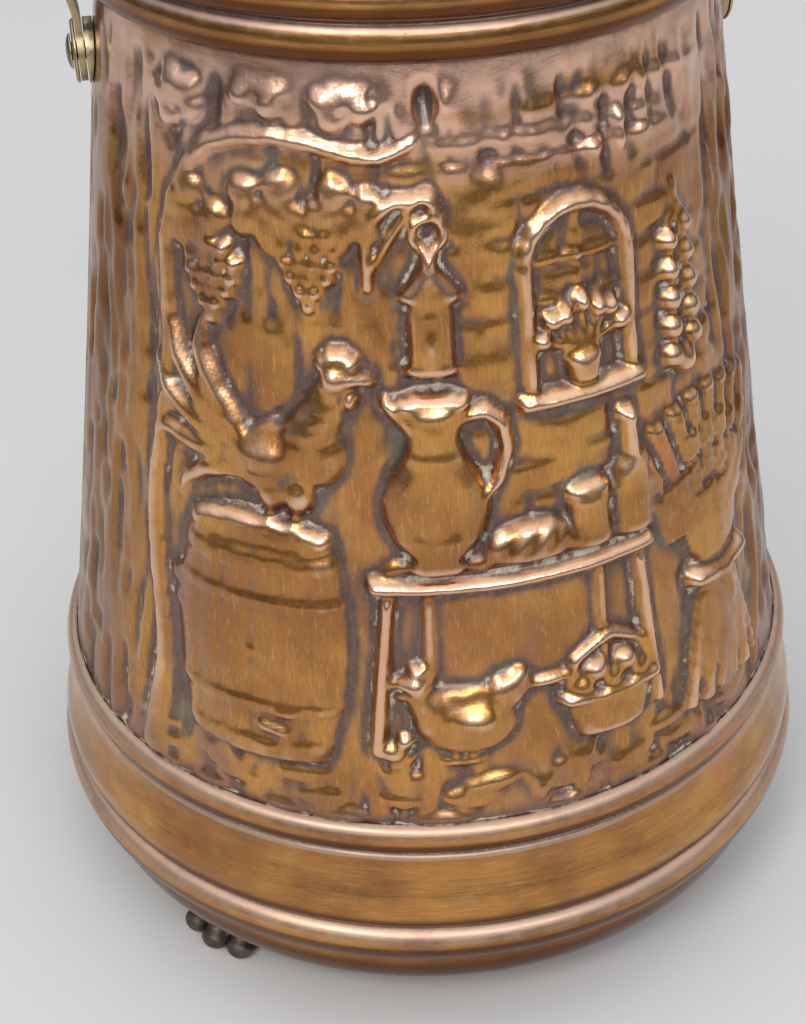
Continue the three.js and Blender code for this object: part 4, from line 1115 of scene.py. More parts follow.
def copper_finish(name, colours, upright):
    """Old lacquered copper: streaked along the wall, or round it on the spun parts, with painted highlights
    on upward faces and painted shade on the wall's sides and on the undersides.
    """
    f = Finish(name)
    streaked = f.stretched((1, 1, 0.12) if upright else (0.12, 0.12, 1))
    proud, hollow, crease, inner = (f.attribute(kind) for kind in ("proud", "hollow", "crease", "inner"))
    top, under, side = (f.attribute(kind) for kind in ("top", "under", "side"))

    patches = f.noise(70, 4, 0.65, streaked)
    f.colour = f.blend(f.band(f.noise(24, 3, 0.6), 0.38, 0.66), colours.copper, colours.deep)
    f.paint(f.band(patches, 0.45, 0.72, 0, 0.55), colours.deep)
    ruddy = f.noise(38, 3, 0.6, f.stretched((1, 1, 0.45), (3, 1, 2)))
    f.paint(f.band(ruddy, 0.54, 0.76, 0, 0.45), srgb(196, 112, 76))
    fine = f.noise(1700, 2, 0.5, f.stretched((1, 1, 0.09) if upright else (0.07, 0.07, 1)))
    f.paint(f.band(fine, 0.35, 0.7, 0, 0.22), srgb(112, 72, 42))
    pale = f.noise(1300, 2, 0.5, f.stretched((1, 1, 0.08) if upright else (0.07, 0.07, 1), (5, 2, 8)))
    f.paint(f.band(pale, 0.56, 0.74, 0, 0.3), srgb(226, 180, 128))
    # Painted shade: the wall darkens to brown towards its sides round the bucket
    f.paint(f.times(side, 0.85), srgb(100, 60, 32))
    if upright:
        brow = f.ramp_up(0.262, 0.292)
        brushed = f.noise(60, 4, 0.65, f.stretched((0.22, 0.22, 1)))
        f.paint(f.times(brow, f.band(brushed, 0.36, 0.56, 0, 0.75)), srgb(230, 188, 168))
        clouded = f.noise(42, 4, 0.65, f.stretched((0.35, 0.35, 1), (2, 6, 1)))
        f.paint(f.times(brow, f.band(clouded, 0.53, 0.68, 0, 0.45)), srgb(122, 92, 90))
    else:
        clouded = f.noise(36, 5, 0.7, f.stretched((0.3, 0.3, 1), (2, 6, 1)))
        f.paint(f.band(clouded, 0.44, 0.66, 0, 0.6), srgb(122, 82, 44))

    # Pink wear on the raised peaks, plus a painted highlight where surfaces face upward (top); on the spun
    # parts the pale lilac-grey is mostly a painted highlight on the bead tops. The wall's sides get less of
    # it, as part of their painted shade.
    rub_and_sheen = f.sum(f.sum(proud, f.times(top, 0.5 if upright else 0.7)),
                f.times(f.sum(f.noise(160, 3, 0.6), -0.5), 0.6))
    wear_and_sheen = f.band(rub_and_sheen, 0.3, 0.95, 0, 0.72) if upright else f.band(rub_and_sheen, 0.22, 0.8, 0, 0.66)
    wear_and_sheen = f.times(wear_and_sheen, f.band(side, 0, 1, 1, 0.25))
    f.paint(wear_and_sheen, colours.wear_and_sheen if upright else srgb(208, 182, 166))

    dirt = f.sum(hollow, f.times(f.sum(f.noise(150, 4, 0.65, streaked), -0.5), 1.1))
    stained = f.band(dirt, 0.06, 0.8, 0, 0.9)
    mottle = f.noise(430, 4, 0.7, f.stretched((1, 1, 0.35), (4, 8, 1)))
    stain = f.blend(f.band(mottle, 0.42, 0.66, 0, 0.75), colours.stain, srgb(128, 96, 76))
    stain = f.blend(f.band(f.noise(1200, 3, 0.7), 0.58, 0.72, 0, 0.5), stain, srgb(178, 160, 146))
    f.paint(stained, stain)
    haze = f.noise(34, 4, 0.7, f.stretched((1, 1, 0.3), (7, 5, 3)))
    if upright:
        haze = f.sum(haze, f.times(f.ramp_up(0.118, 0.084), 0.16))
    f.paint(f.band(haze, 0.54, 0.78, 0, 0.6), srgb(138, 104, 96))
    crumbs = f.noise(900, 3, 0.7)
    broken = f.band(f.noise(170, 3, 0.6, f.stretched((1, 1, 1), (2, 9, 4))), 0.46, 0.6)
    crust = f.times(f.band(f.sum(crease, f.times(f.sum(crumbs, -0.5), 0.9)), 0.58, 0.95), broken)
    f.paint(f.times(crust, 0.8), colours.crust)
    green = f.times(f.band(f.noise(60, 2, 0.5), 0.6, 0.72), f.band(dirt, 0.15, 0.5))
    f.paint(f.times(green, 0.2), srgb(124, 156, 138))
    specks = f.band(f.cells(420), 0.05, 0.13, 0.7, 0)
    spots = f.times(specks, f.band(f.noise(60, 2, 0.5), 0.52, 0.66))
    f.paint(spots, srgb(70, 50, 40))
    # Painted shade: faces of the spun parts that look downward are darkened
    f.paint(f.times(under, 0.85), srgb(84, 46, 28))
    f.paint(f.times(inner, 0.75), srgb(78, 64, 56))

    roughness = f.level(f.band(patches, 0.3, 0.8), 0.22, 0.34)
    roughness = f.level(stained, roughness, 0.46)
    roughness = f.level(wear_and_sheen, roughness, 0.22 if upright else 0.56)
    roughness = f.level(crust, roughness, 0.8)
    roughness = f.level(inner, roughness, 0.6)
    metallic = f.level(crust, f.level(stained, 1.0, 0.8), 0.1)

    scratch = f.noise(520, 3, 0.6, f.stretched((1, 1, 0.05) if upright else (0.04, 0.04, 1)))
    normal = f.bump(f.noise(130, 4, 0.55), 0.0006, 0.45 if upright else 0.3)
    normal = f.bump(scratch, 0.00016, 0.6, normal)
    normal = f.bump(f.times(crust, crumbs), 0.0004, 0.6, normal)
    coat = f.band(f.sum(side, under), 0, 0.8, 0.5, 0.08)
    f.put(f.shader.inputs["Coat Weight"], f.times(coat, f.level(wear_and_sheen, 1.0, 1.0 if upright else 0.2)))
    f.shader.inputs["Coat Roughness"].default_value = 0.16
    return f.done(roughness, normal, metallic)


def cast_finish(name, colours):
    """Blackened cast metal, grey where it is rubbed."""
    f = Finish(name)
    proud, hollow = f.attribute("proud"), f.attribute("hollow")
    f.colour = f.blend(f.band(f.noise(300, 4, 0.6), 0.35, 0.7), colours.iron, srgb(52, 46, 44))
    f.paint(f.band(f.sum(proud, f.times(f.noise(400, 3), 0.4)), 0.35, 0.95, 0, 0.7), srgb(150, 142, 136))
    f.paint(f.band(hollow, 0.1, 0.6, 0, 0.8), srgb(34, 28, 26))
    f.paint(f.band(f.noise(90, 3, 0.7), 0.58, 0.75, 0, 0.4), srgb(96, 70, 54))
    roughness = f.band(f.noise(500, 3, 0.6), 0.3, 0.7, 0.36, 0.58)
    normal = f.bump(f.noise(900, 4, 0.6), 0.0003, 0.4)
    return f.done(roughness, normal, 0.9)


def steel_finish(name):
    """Dull steel with a little rust, for what is hidden inside."""
    f = Finish(name)
    f.colour = f.blend(f.band(f.noise(260, 4, 0.6), 0.4, 0.7), srgb(128, 124, 120), srgb(92, 84, 78))
    f.paint(f.band(f.noise(420, 4, 0.7), 0.55, 0.72, 0, 0.7), srgb(112, 66, 40))
    roughness = f.band(f.noise(700, 3, 0.6), 0.3, 0.7, 0.35, 0.6)
    return f.done(roughness, f.bump(f.noise(1400, 3, 0.6), 0.0002, 0.4), 0.95)


def brass_finish(name, colours):
    """Tarnished brass with bright rims."""
    f = Finish(name)
    proud, hollow = f.attribute("proud"), f.attribute("hollow")
    f.colour = f.blend(f.band(f.noise(240, 4, 0.6), 0.38, 0.7), colours.brass, srgb(94, 82, 58))
    f.paint(f.band(proud, 0.25, 0.8, 0, 0.75), srgb(198, 186, 148))
    f.paint(f.band(hollow, 0.1, 0.5, 0, 0.85), srgb(66, 54, 40))
    f.paint(f.band(f.noise(520, 3, 0.7), 0.6, 0.72, 0, 0.5), srgb(96, 112, 88))
    roughness = f.band(f.noise(600, 3, 0.6), 0.3, 0.7, 0.26, 0.46)
    return f.done(roughness, f.bump(f.noise(1300, 3, 0.6), 0.0002, 0.4), 1.0)


def strap_finish(name):
    """Dark brown drawn brass, rubbed bright along its edges."""
    f = Finish(name)
    proud = f.attribute("proud")
    f.colour = f.blend(f.band(f.noise(120, 4, 0.65), 0.35, 0.7), srgb(128, 108, 80), srgb(84, 70, 56))
    streak = f.noise(700, 3, 0.6, f.stretched((0.05, 1, 0.05)))
    f.paint(f.band(streak, 0.4, 0.7, 0, 0.4), srgb(70, 58, 48))
    f.paint(f.band(proud, 0.3, 0.8, 0, 0.75), srgb(196, 176, 136))
    roughness = f.band(f.noise(500, 3, 0.6), 0.3, 0.7, 0.3, 0.5)
    return f.done(roughness, f.bump(streak, 0.00015, 0.4), 1.0)


def wood_finish(name, colours):
    """Stained turned wood with its grain along the grip."""
    f = Finish(name)
    grain = f.noise(260, 5, 0.65, f.stretched((0.06, 1, 1)), 0.4)
    pores = f.noise(1500, 3, 0.6, f.stretched((0.03, 1, 1)))
    f.colour = f.blend(f.band(grain, 0.35, 0.7), colours.wood, srgb(104, 62, 36))
    f.paint(f.band(pores, 0.5, 0.68, 0, 0.7), srgb(28, 16, 10))
    f.paint(f.band(f.attribute("proud"), 0.3, 0.9, 0, 0.35), srgb(136, 88, 54))
    roughness = f.band(grain, 0.3, 0.7, 0.32, 0.48)
    normal = f.bump(pores, 0.0002, 0.5)
    f.shader.inputs["Coat Weight"].default_value = 0.25
    f.shader.inputs["Coat Roughness"].default_value = 0.25
    return f.done(roughness, normal, 0.0)


FINISHES = {}


def finish_named(name):
    """The finish of a record slot, made the first time it is asked for."""
    if name not in FINISHES:
        colours = bpy.context.scene.scuttle_colours
        makers = {
            "embossed_copper": lambda: copper_finish(name, colours, True),
            "spun_copper": lambda: copper_finish(name, colours, False),
            "cast_feet": lambda: cast_finish(name, colours),
            "steel_fixings": lambda: steel_finish(name),
            "brass_fittings": lambda: brass_finish(name, colours),
            "bail_strap": lambda: strap_finish(name),
            "turned_wood": lambda: wood_finish(name, colours),
        }
        FINISHES[name] = makers[name]()
    return FINISHES[name]


# ------------------------------------------------------------------ spun parts

def mark_faces(piece, test):
    """Marks where a spun sheet faces up (for a painted highlight), faces down (for a painted shade), or
    faces the inside of the bucket.
    """
    places = read(piece.data.vertices, "co", 3) / MM
    normals = read(piece.data.vertices, "normal", 3)
    radius = np.maximum(np.hypot(places[:, 0], places[:, 1]), 1e-6)
    outward = (places[:, 0] * normals[:, 0] + places[:, 1] * normals[:, 1]) / radius
    inside = test(radius, places[:, 2], outward, normals[:, 2]).astype(np.float32)
    write_values(piece.data, "inner", inside)
    # top drives a painted highlight and under a painted shade in the copper finish
    write_values(piece.data, "top", ramp(normals[:, 2], 0.12, 0.8) * (1 - inside))
    write_values(piece.data, "under", ramp(-normals[:, 2], -0.06, 0.16) * (1 - inside))


def mark_seams(piece, seams):
    """Marks lines of dirt round a spun part at (radius, level, width, dirt, crust)."""
    places = read(piece.data.vertices, "co", 3) / MM
    radius = np.hypot(places[:, 0], places[:, 1])
    dark = np.zeros(len(places))
    crust = np.zeros(len(places))
    for at, level, width, dirt, deposit in seams:
        near = np.exp(-((radius - at) ** 2 + (places[:, 2] - level) ** 2) / (width * width))
        dark = np.maximum(dark, dirt * near)
        crust = np.maximum(crust, deposit * near)
    write_values(piece.data, "hollow",
                 np.maximum(dark, 0.4 * read(piece.data.attributes["hollow"].data, "value", 1)))
    write_values(piece.data, "crease", crust)


def dent(piece, spots):
    """Pushes shallow dents towards the middle at (azimuth, level, width, height, depth)."""
    mesh = piece.data
    places = read(mesh.vertices, "co", 3).astype(float) / MM
    radius = np.hypot(places[:, 0], places[:, 1])
    azimuth = np.degrees(np.arctan2(places[:, 1], places[:, 0]))
    push = np.zeros(len(places))
    for at, level, wide, tall, depth in spots:
        away = (azimuth - at + 180) % 360 - 180
        push += depth * np.exp(-(away / wide) ** 2 - ((places[:, 2] - level) / tall) ** 2)
    places[:, :2] *= ((radius - push) / np.maximum(radius, 1e-6))[:, None]
    mesh.vertices.foreach_set("co", (places * MM).astype(np.float32).ravel())
    mesh.update()


def sheet_piece(name, outline, steps, every=2):
    bm = bmesh.new()
    spin_section(bm, sheet_section(outline, every=every), steps)
    return to_piece(bm, name)


def collar_line():
    """The lower bead and the rolled edge, up the outside."""
    skirt = bead((88.1, RIM_LEVEL), (91.2, 312.4), (88.9, 317.5), 14)
    return skirt + arc((87.5, 323.2), 5.3, -75, 248, 40)


def ring_line():
    """The lower bead, the hollow band and the upper bead, up the outside."""
    lower = bead((125.7, 33.2), (129.4, 41.2), (124.9, 46.8), 22)
    band = smooth_line([(124.9, 46.8), (127, 48.6), (127.6, 52.2), (127, 56.8), (124.7, 62.8), (122.6, 69),
                        (122.2, 72.6), (120.9, 74)], 34)
    upper = smooth_line([(120.9, 74), (123, 76.2), (123.95, 79.4), (123.5, 82.1), (122.2, 84.1),
                         (120.1, 85)], 22)
    return lower + band[1:] + upper[1:]


def pan_line():
    belly = smooth_line([(107.5, 13.8), (115, 15.4), (120.8, 18.8), (123.5, 25.6), (124, 33)], 24)
    return [(0, 13.8), (40, 13.8), (80, 13.8), (100, 13.8)] + belly + [(124, 38), (124, 43.2)]


def turned_piece(name, outline, place, steps=64, ease=0.3, closed=False):
    """A small turned part: spun round +Z, its edges rounded, and then put in its place."""
    bm = bmesh.new()
    spin_section(bm, outline, steps, closed)
    soften_edges(bm, ease)
    bmesh.ops.transform(bm, matrix=place, verts=bm.verts[:])
    bmesh.ops.recalc_face_normals(bm, faces=bm.faces[:])
    piece = to_piece(bm, name)
    mark_wear(piece, 0.8, 2)
    return piece


def along_x(distance, level, side=1):
    """Stands a part that was spun round +Z out along +X or -X, at a level."""
    lay = Matrix.Rotation(math.pi / 2 * side, 4, "Y")
    return Matrix.Translation(Vector((distance * side, 0, level)) * MM) @ lay


def round_z(azimuth, radius):
    turn = Matrix.Rotation(math.radians(azimuth), 4, "Z")
    return turn @ Matrix.Translation(Vector((radius, 0, 0)) * MM)


# ------------------------------------------------------------------ feet

def paw(name, azimuth):
    """A cast paw with three round toes, its sole flat on the floor."""
    bm = bmesh.new()

    def ball(centre, size, tilt=0.0):
        place = Matrix.Translation(Vector(centre) * MM) @ Matrix.Rotation(tilt, 4, "Y")
        place = place @ Matrix.Diagonal((*[s * MM for s in size], 1))
        bmesh.ops.create_uvsphere(bm, u_segments=32, v_segments=20, radius=1, matrix=place)

    def peg(centre, radius, top_radius, depth, tilt=0.0):
        place = Matrix.Translation(Vector(centre) * MM) @ Matrix.Rotation(tilt, 4, "Y")
        bmesh.ops.create_cone(bm, cap_ends=True, segments=40, radius1=radius * MM,
                              radius2=top_radius * MM, depth=depth * MM, matrix=place)

    ball((101, 0, 5.0), (12, 12.4, 8.0))
    ball((99, 0, 8.5), (10.5, 11, 5.4))
    ball((107.4, 0, 4.2), (7.6, 12.2, 5.0), 0.1)
    peg((BOLT_RADIUS, 0, 10.6), 10.6, 11.0, 5.8)
    for side in (-1, 0, 1):
        back = 1.9 * abs(side)
        y = 9.2 * side
        ball((110.0 - back, y, 4.4), (7.4, 5.1, 5.5), 0.12)
        ball((105.0 - back, y * 0.92, 7.0), (7.0, 4.2, 4.6), 0.3)
        ball((114.4 - back, y * 1.04, 3.4), (4.3, 4.9, 3.9))
        ball((102.0 - back, y * 0.86, 8.6), (6.0, 3.6, 3.8), 0.35)
    foot = to_piece(bm, name)
    mesh_up = foot.modifiers.new("cast", "REMESH")
    mesh_up.mode = "VOXEL"
    mesh_up.voxel_size = 0.55 * MM
    rounded = foot.modifiers.new("sand", "SMOOTH")
    rounded.factor = 0.5
    rounded.iterations = 4
    bake_modifiers(foot)

    bm = bmesh.new()
    bm.from_mesh(foot.data)
    for level, direction in ((0.0, -1), (FOOT_HEIGHT, 1)):
        everything = bm.verts[:] + bm.edges[:] + bm.faces[:]
        cut = bmesh.ops.bisect_plane(bm, geom=everything, dist=1e-6, plane_co=(0, 0, level * MM),
                                     plane_no=(0, 0, direction), clear_outer=True)
        edges = [g for g in cut["geom_cut"] if isinstance(g, bmesh.types.BMEdge)]
        bmesh.ops.holes_fill(bm, edges=edges, sides=0)
    bmesh.ops.triangulate(bm, faces=[f for f in bm.faces if len(f.verts) > 4])
    bmesh.ops.rotate(bm, cent=(0, 0, 0), matrix=Matrix.Rotation(math.radians(azimuth), 3, "Z"),
                     verts=bm.verts[:])
    bmesh.ops.recalc_face_normals(bm, faces=bm.faces[:])
    bm.to_mesh(foot.data)
    bm.free()
    foot.data.shade_smooth()
    mark_wear(foot, 1.6, 4)
    return foot


# ------------------------------------------------------------------ bail

def bail_path():
    """The strap's centre line as (x, z) points."""
    corner = arc((94.45 - 36, BAR_LEVEL - 36), 36, 0, 90, 16)
    line_points = [(92.35, PIVOT_LEVEL - 8.6), (92.35, PIVOT_LEVEL), (92.35, 296)]
    line_points += smooth_line([(92.35, 296), (92.9, 299.5), (93.9, 303.5), (94.45, 307)], 6)[1:]
    line_points += [(94.45, 330), (94.45, 360)] + corner + [(56, BAR_LEVEL)]
    return line_points


def resampled(points, gap):
    """The same line with its points an even gap apart."""
    points = np.array(points, float)
    lengths = np.concatenate([[0], np.cumsum(np.linalg.norm(np.diff(points, axis=0), axis=1))])
    at = np.linspace(0, lengths[-1], int(round(lengths[-1] / gap)) + 1)
    return np.stack([np.interp(at, lengths, points[:, k]) for k in (0, 1)], 1)


def strap_arm(bm, side):
    """One arm of the strap: a long box shaped along the path and widened into an eye at the pivot;
    build_bail bores it for its rivet.
    """
    path = resampled(bail_path(), 1.4)
    along = np.gradient(path, axis=0)
    along /= np.linalg.norm(along, axis=1)[:, None]
    across_steps = 10
    made = bmesh.ops.create_grid(bm, x_segments=len(path) - 1, y_segments=across_steps, size=1)
    for vertex in made["verts"]:
        i = int(round((vertex.co.x + 1) / 2 * (len(path) - 1)))
        share = vertex.co.y
        x, z = path[i]
        below = z - PIVOT_LEVEL
        eye = math.sqrt(max(8.5 ** 2 - below * below, 0.04)) if x > 80 and below < 8.5 else 0
        half = 6.0 - 1.0 * float(ramp(BAR_LEVEL - z, 22, 0)) if below > 0 else 0
        width = max(eye, half)
        vertex.co = Vector((side * x, share * width, z)) * MM
    normals = {}
    for vertex in made["verts"]:
        x, z = abs(vertex.co.x) / MM, vertex.co.z / MM
        i = int(np.argmin((path[:, 0] - x) ** 2 + (path[:, 1] - z) ** 2))
        normals[vertex] = Vector((side * along[i][1], 0, -along[i][0]))
    grown = bmesh.ops.extrude_face_region(bm,
                                          geom=[f for f in bm.faces if all(v in normals for v in f.verts)])
    upper = [g for g in grown["geom"] if isinstance(g, bmesh.types.BMVert)]
    nearest = {tuple(round(c, 7) for c in v.co): v for v in normals}
    for vertex in upper:
        twin = nearest[tuple(round(c, 7) for c in vertex.co)]
        vertex.co = vertex.co + normals[twin] * STRAP_HALF * MM
    for vertex, normal in normals.items():
        vertex.co = vertex.co - normal * STRAP_HALF * MM


def build_bail():
    bm = bmesh.new()
    strap_arm(bm, 1)
    strap_arm(bm, -1)
    bmesh.ops.recalc_face_normals(bm, faces=bm.faces[:])
    soften_edges(bm, 0.55, 50, 3)
    piece = to_piece(bm, "bail_strap")
    bar = turned_piece("bail_bar_tool", [(0, -60), (3.5, -60), (3.5, 60), (0, 60)], along_x(0, BAR_LEVEL),
                       40, 0.4)
    drill = turned_piece("bail_drill_tool", [(0, -120), (2.9, -120), (2.9, 120), (0, 120)],
                         along_x(0, PIVOT_LEVEL), 48, 0.1)
    for tool, kind in ((bar, "UNION"), (drill, "DIFFERENCE")):
        step = piece.modifiers.new(kind.lower(), "BOOLEAN")
        step.operation = kind
        step.solver = "EXACT"
        step.object = tool
    bake_modifiers(piece)
    for tool in (bar, drill):
        bpy.data.objects.remove(tool)
    bm = bmesh.new()
    bm.from_mesh(piece.data)
    for edge in bm.edges:
        edge.smooth = not (edge.is_manifold and edge.calc_face_angle() > math.radians(40))
    bm.to_mesh(piece.data)
    bm.free()
    mark_wear(piece, 0.8, 2)
    return piece


# ------------------------------------------------------------------ operators

class ScuttleOperator(bpy.types.Operator):
    """Base for the making steps"""
    bl_options = {"REGISTER", "UNDO"}

    def execute(self, context):
        self.make(context.scene.scuttle_sizes)
        return {"FINISHED"}


class SCUTTLE_OT_stage(bpy.types.Operator):
    """Pale floor, soft studio light and the camera"""
    bl_idname = "scuttle.stage"
    bl_label = "Stage"

    def execute(self, context):
        scene = context.scene
        colours = scene.scuttle_colours
        bm = bmesh.new()
        bmesh.ops.create_grid(bm, x_segments=2, y_segments=2, size=4)
        floor = to_piece(bm, "floor")
        f = Finish("pale_floor")
        f.colour = f.blend(f.band(f.noise(6, 3, 0.5), 0.3, 0.7, 0, 0.12), colours.floor,
                           srgb(188, 186, 184))
        floor.data.materials.append(f.done(0.75, f.bump(f.noise(400, 2), 0.0002, 0.2), 0.0))

        world = bpy.data.worlds.new("studio")
        scene.world = world
        world.use_nodes = True
        nodes, links = world.node_tree.nodes, world.node_tree.links
        nodes.clear()
        output = nodes.new("ShaderNodeOutputWorld")
        back = nodes.new("ShaderNodeBackground")
        back.inputs["Color"].default_value = (0.92, 0.95, 1.0, 1)
        links.new(back.outputs[0], output.inputs["Surface"])
        around = nodes.new("ShaderNodeTexCoord")
        split = nodes.new("ShaderNodeSeparateXYZ")
        links.new(around.outputs["Generated"], split.inputs[0])
        sky = nodes.new("ShaderNodeMapRange")
        sky.interpolation_type = "SMOOTHSTEP"
        for name, number in (("From Min", 0.05), ("From Max", 0.9), ("To Min", 0.16), ("To Max", 1.3)):
            sky.inputs[name].default_value = number
        links.new(split.outputs["Z"], sky.inputs["Value"])
        links.new(sky.outputs["Result"], back.inputs["Strength"])

        def lamp(name, place, aim, size, power, tint=(1, 1, 1)):
            light = bpy.data.lights.new(name, "AREA")
            light.shape = "RECTANGLE"
            light.size, light.size_y = size
            light.energy = power
            light.color = tint
            item = bpy.data.objects.new(name, light)
            item.location = place
            item.rotation_mode = "QUATERNION"
            item.rotation_quaternion = (Vector(aim) - Vector(place)).to_track_quat("-Z", "Y")
            scene.collection.objects.link(item)

        lamp("key", (-0.75, -1.0, 1.35), (0, 0, 0.2), (0.5, 0.5), 9, (1.0, 0.97, 0.94))
        lamp("sky", (0.25, -1.3, 1.2), (0, 0, 0.2), (0.9, 0.35), 6)

        camera_data = bpy.data.cameras.new("camera")
        camera_data.sensor_fit = "VERTICAL"
        camera_data.sensor_height = 36
        camera_data.lens = CAMERA_LENS
        camera_data.clip_start, camera_data.clip_end = 0.01, 20
        camera = bpy.data.objects.new("camera", camera_data)
        scene.collection.objects.link(camera)
        spin = Matrix.Rotation(CAMERA_YAW, 3, "Z")
        ahead = spin @ Vector((0, math.cos(CAMERA_PITCH), -math.sin(CAMERA_PITCH)))
        right = spin @ Vector((1, 0, 0))
        down = spin @ Vector((0, -math.sin(CAMERA_PITCH), -math.cos(CAMERA_PITCH)))
        across = right * math.cos(CAMERA_ROLL) + down * math.sin(CAMERA_ROLL)
        below = down * math.cos(CAMERA_ROLL) - right * math.sin(CAMERA_ROLL)
        around = Matrix.Rotation(math.radians(CAMERA_TURN), 3, "Z")
        across, below, ahead = (around @ axis for axis in (across, below, ahead))
        place = Matrix((across, -below, -ahead)).transposed().to_4x4()
        place.translation = around @ (Vector(CAMERA_PLACE) * MM)
        camera.matrix_world = place
        scene.camera = camera
        scene.view_settings.view_transform = "Standard"
        return {"FINISHED"}


class SCUTTLE_OT_wall(ScuttleOperator):
    """Front and rear embossed sheets"""
    bl_idname = "scuttle.wall"
    bl_label = "Wall"

    def make(self, sizes):
        finish = finish_named("embossed_copper")
        depth = sizes.gouge / MM
        front = WallSheet(-90, (330, 256), False).build("wall_front", front_picture, sizes.relief, depth)
        dress(front, "bucket", finish, ["body_front"])
        rear = WallSheet(90, (280, 220), True).build("wall_rear", rear_picture, sizes.relief, depth)
        dress(rear, "bucket", finish, ["body_rear"])


class SCUTTLE_OT_collar(ScuttleOperator):
    """Rim collar with its bead, its rolled edge and the wire inside"""
    bl_idname = "scuttle.collar"
    bl_label = "Rim collar"

    def make(self, sizes):
        collar = sheet_piece("rim_roll", collar_line(), sizes.steps)
        dent(collar, [(-70, 322, 5, 5, 0.35), (-128, 324, 4, 5, 0.3), (40, 322, 6, 5, 0.4)])
        mark_wear(collar, 2.4, 3)
        mark_seams(collar, [(87.9, RIM_LEVEL, 1.4, 0.9, 0.7), (88.9, 317.6, 0.9, 0.9, 0.3)])
        mark_faces(collar, lambda radius, level, outward, upward: radius < 84)
        dress(collar, "bucket", finish_named("spun_copper"), ["rim_collar"])
        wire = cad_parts["rim_wire"]
        wire.data.materials.clear()
        wire.data.materials.append(finish_named("steel_fixings"))


class SCUTTLE_OT_ring(ScuttleOperator):
    """Base ring with its two beads and hollow band"""
    bl_idname = "scuttle.ring"
    bl_label = "Base ring"

    def make(self, sizes):
        deep = sizes.ring_dent / MM
        ring = sheet_piece("ring_band", ring_line(), sizes.steps)
        dent(ring, [(-57, 60, 4, 6, deep), (-61, 52, 3, 4, deep * 0.7), (-104, 58, 2.4, 4, deep * 0.3),
                    (-140, 64, 5, 6, deep * 0.4), (-50, 42, 4, 4, deep * 0.4), (62, 60, 5, 6, deep * 0.8),
                    (128, 44, 4, 5, deep * 0.6), (170, 62, 4, 5, deep * 0.5)])
        mark_wear(ring, 3.2, 3)
        mark_seams(ring, [(120.9, 74, 1.1, 1.0, 0.85), (120.1, 85, 0.8, 0.6, 0.9),
                          (124.9, 46.8, 1.0, 1.0, 0.25),
                          (125.7, 33.2, 0.9, 0.9, 0.2)])
        mark_faces(ring, lambda radius, level, outward, upward: outward < -0.35)
        dress(ring, "bucket", finish_named("spun_copper"), ["base_ring"])


class SCUTTLE_OT_pan(ScuttleOperator):
    """Bottom pan"""
    bl_idname = "scuttle.pan"
    bl_label = "Bottom pan"

    def make(self, sizes):
        pan = sheet_piece("pan_belly", pan_line(), sizes.steps)
        mark_wear(pan, 3.2, 3)
        mark_seams(pan, [(124, 33, 1.6, 1.0, 0.1)])
        mark_faces(pan, lambda radius, level, outward, upward: (outward < -0.2) | (upward > 0.3))
        dress(pan, "bucket", finish_named("spun_copper"), ["bottom_pan"])


class SCUTTLE_OT_feet(ScuttleOperator):
    """Three paw feet with their bolts and washers"""
    bl_idname = "scuttle.feet"
    bl_label = "Feet"

    def make(self, sizes):
        head_level = PAN_FLOOR + 1.8
        dome = [(5.5 * math.cos(a),
                 head_level + 3 * math.sin(a)) for a in np.radians(np.linspace(0, 90, 9))]
        dome[-1] = (0, head_level + 3)
        shank_end = FOOT_HEIGHT - 9.7
        bolt = [(0, shank_end), (2.5, shank_end), (2.5, head_level), *dome]
        washer = [(2.9, PAN_FLOOR + 0.3), (8, PAN_FLOOR + 0.3), (8, PAN_FLOOR + 1.5),
                  (2.9, PAN_FLOOR + 1.5)]
        steel = finish_named("steel_fixings")
        for side, azimuth in FOOT_AZIMUTHS.items():
            foot = paw(f"paw_{side}", azimuth)
            dress(foot, "bucket", finish_named("cast_feet"), [f"foot_{side}"])
            place = round_z(azimuth, BOLT_RADIUS)
            made = turned_piece(f"bolt_{side}", bolt, place, 40, 0.25)
            dress(made, "bucket", steel, [f"foot_bolt_{side}"])
            made = turned_piece(f"washer_{side}", washer, place, 48, 0.25, closed=True)
            dress(made, "bucket", steel, [f"foot_washer_{side}"])


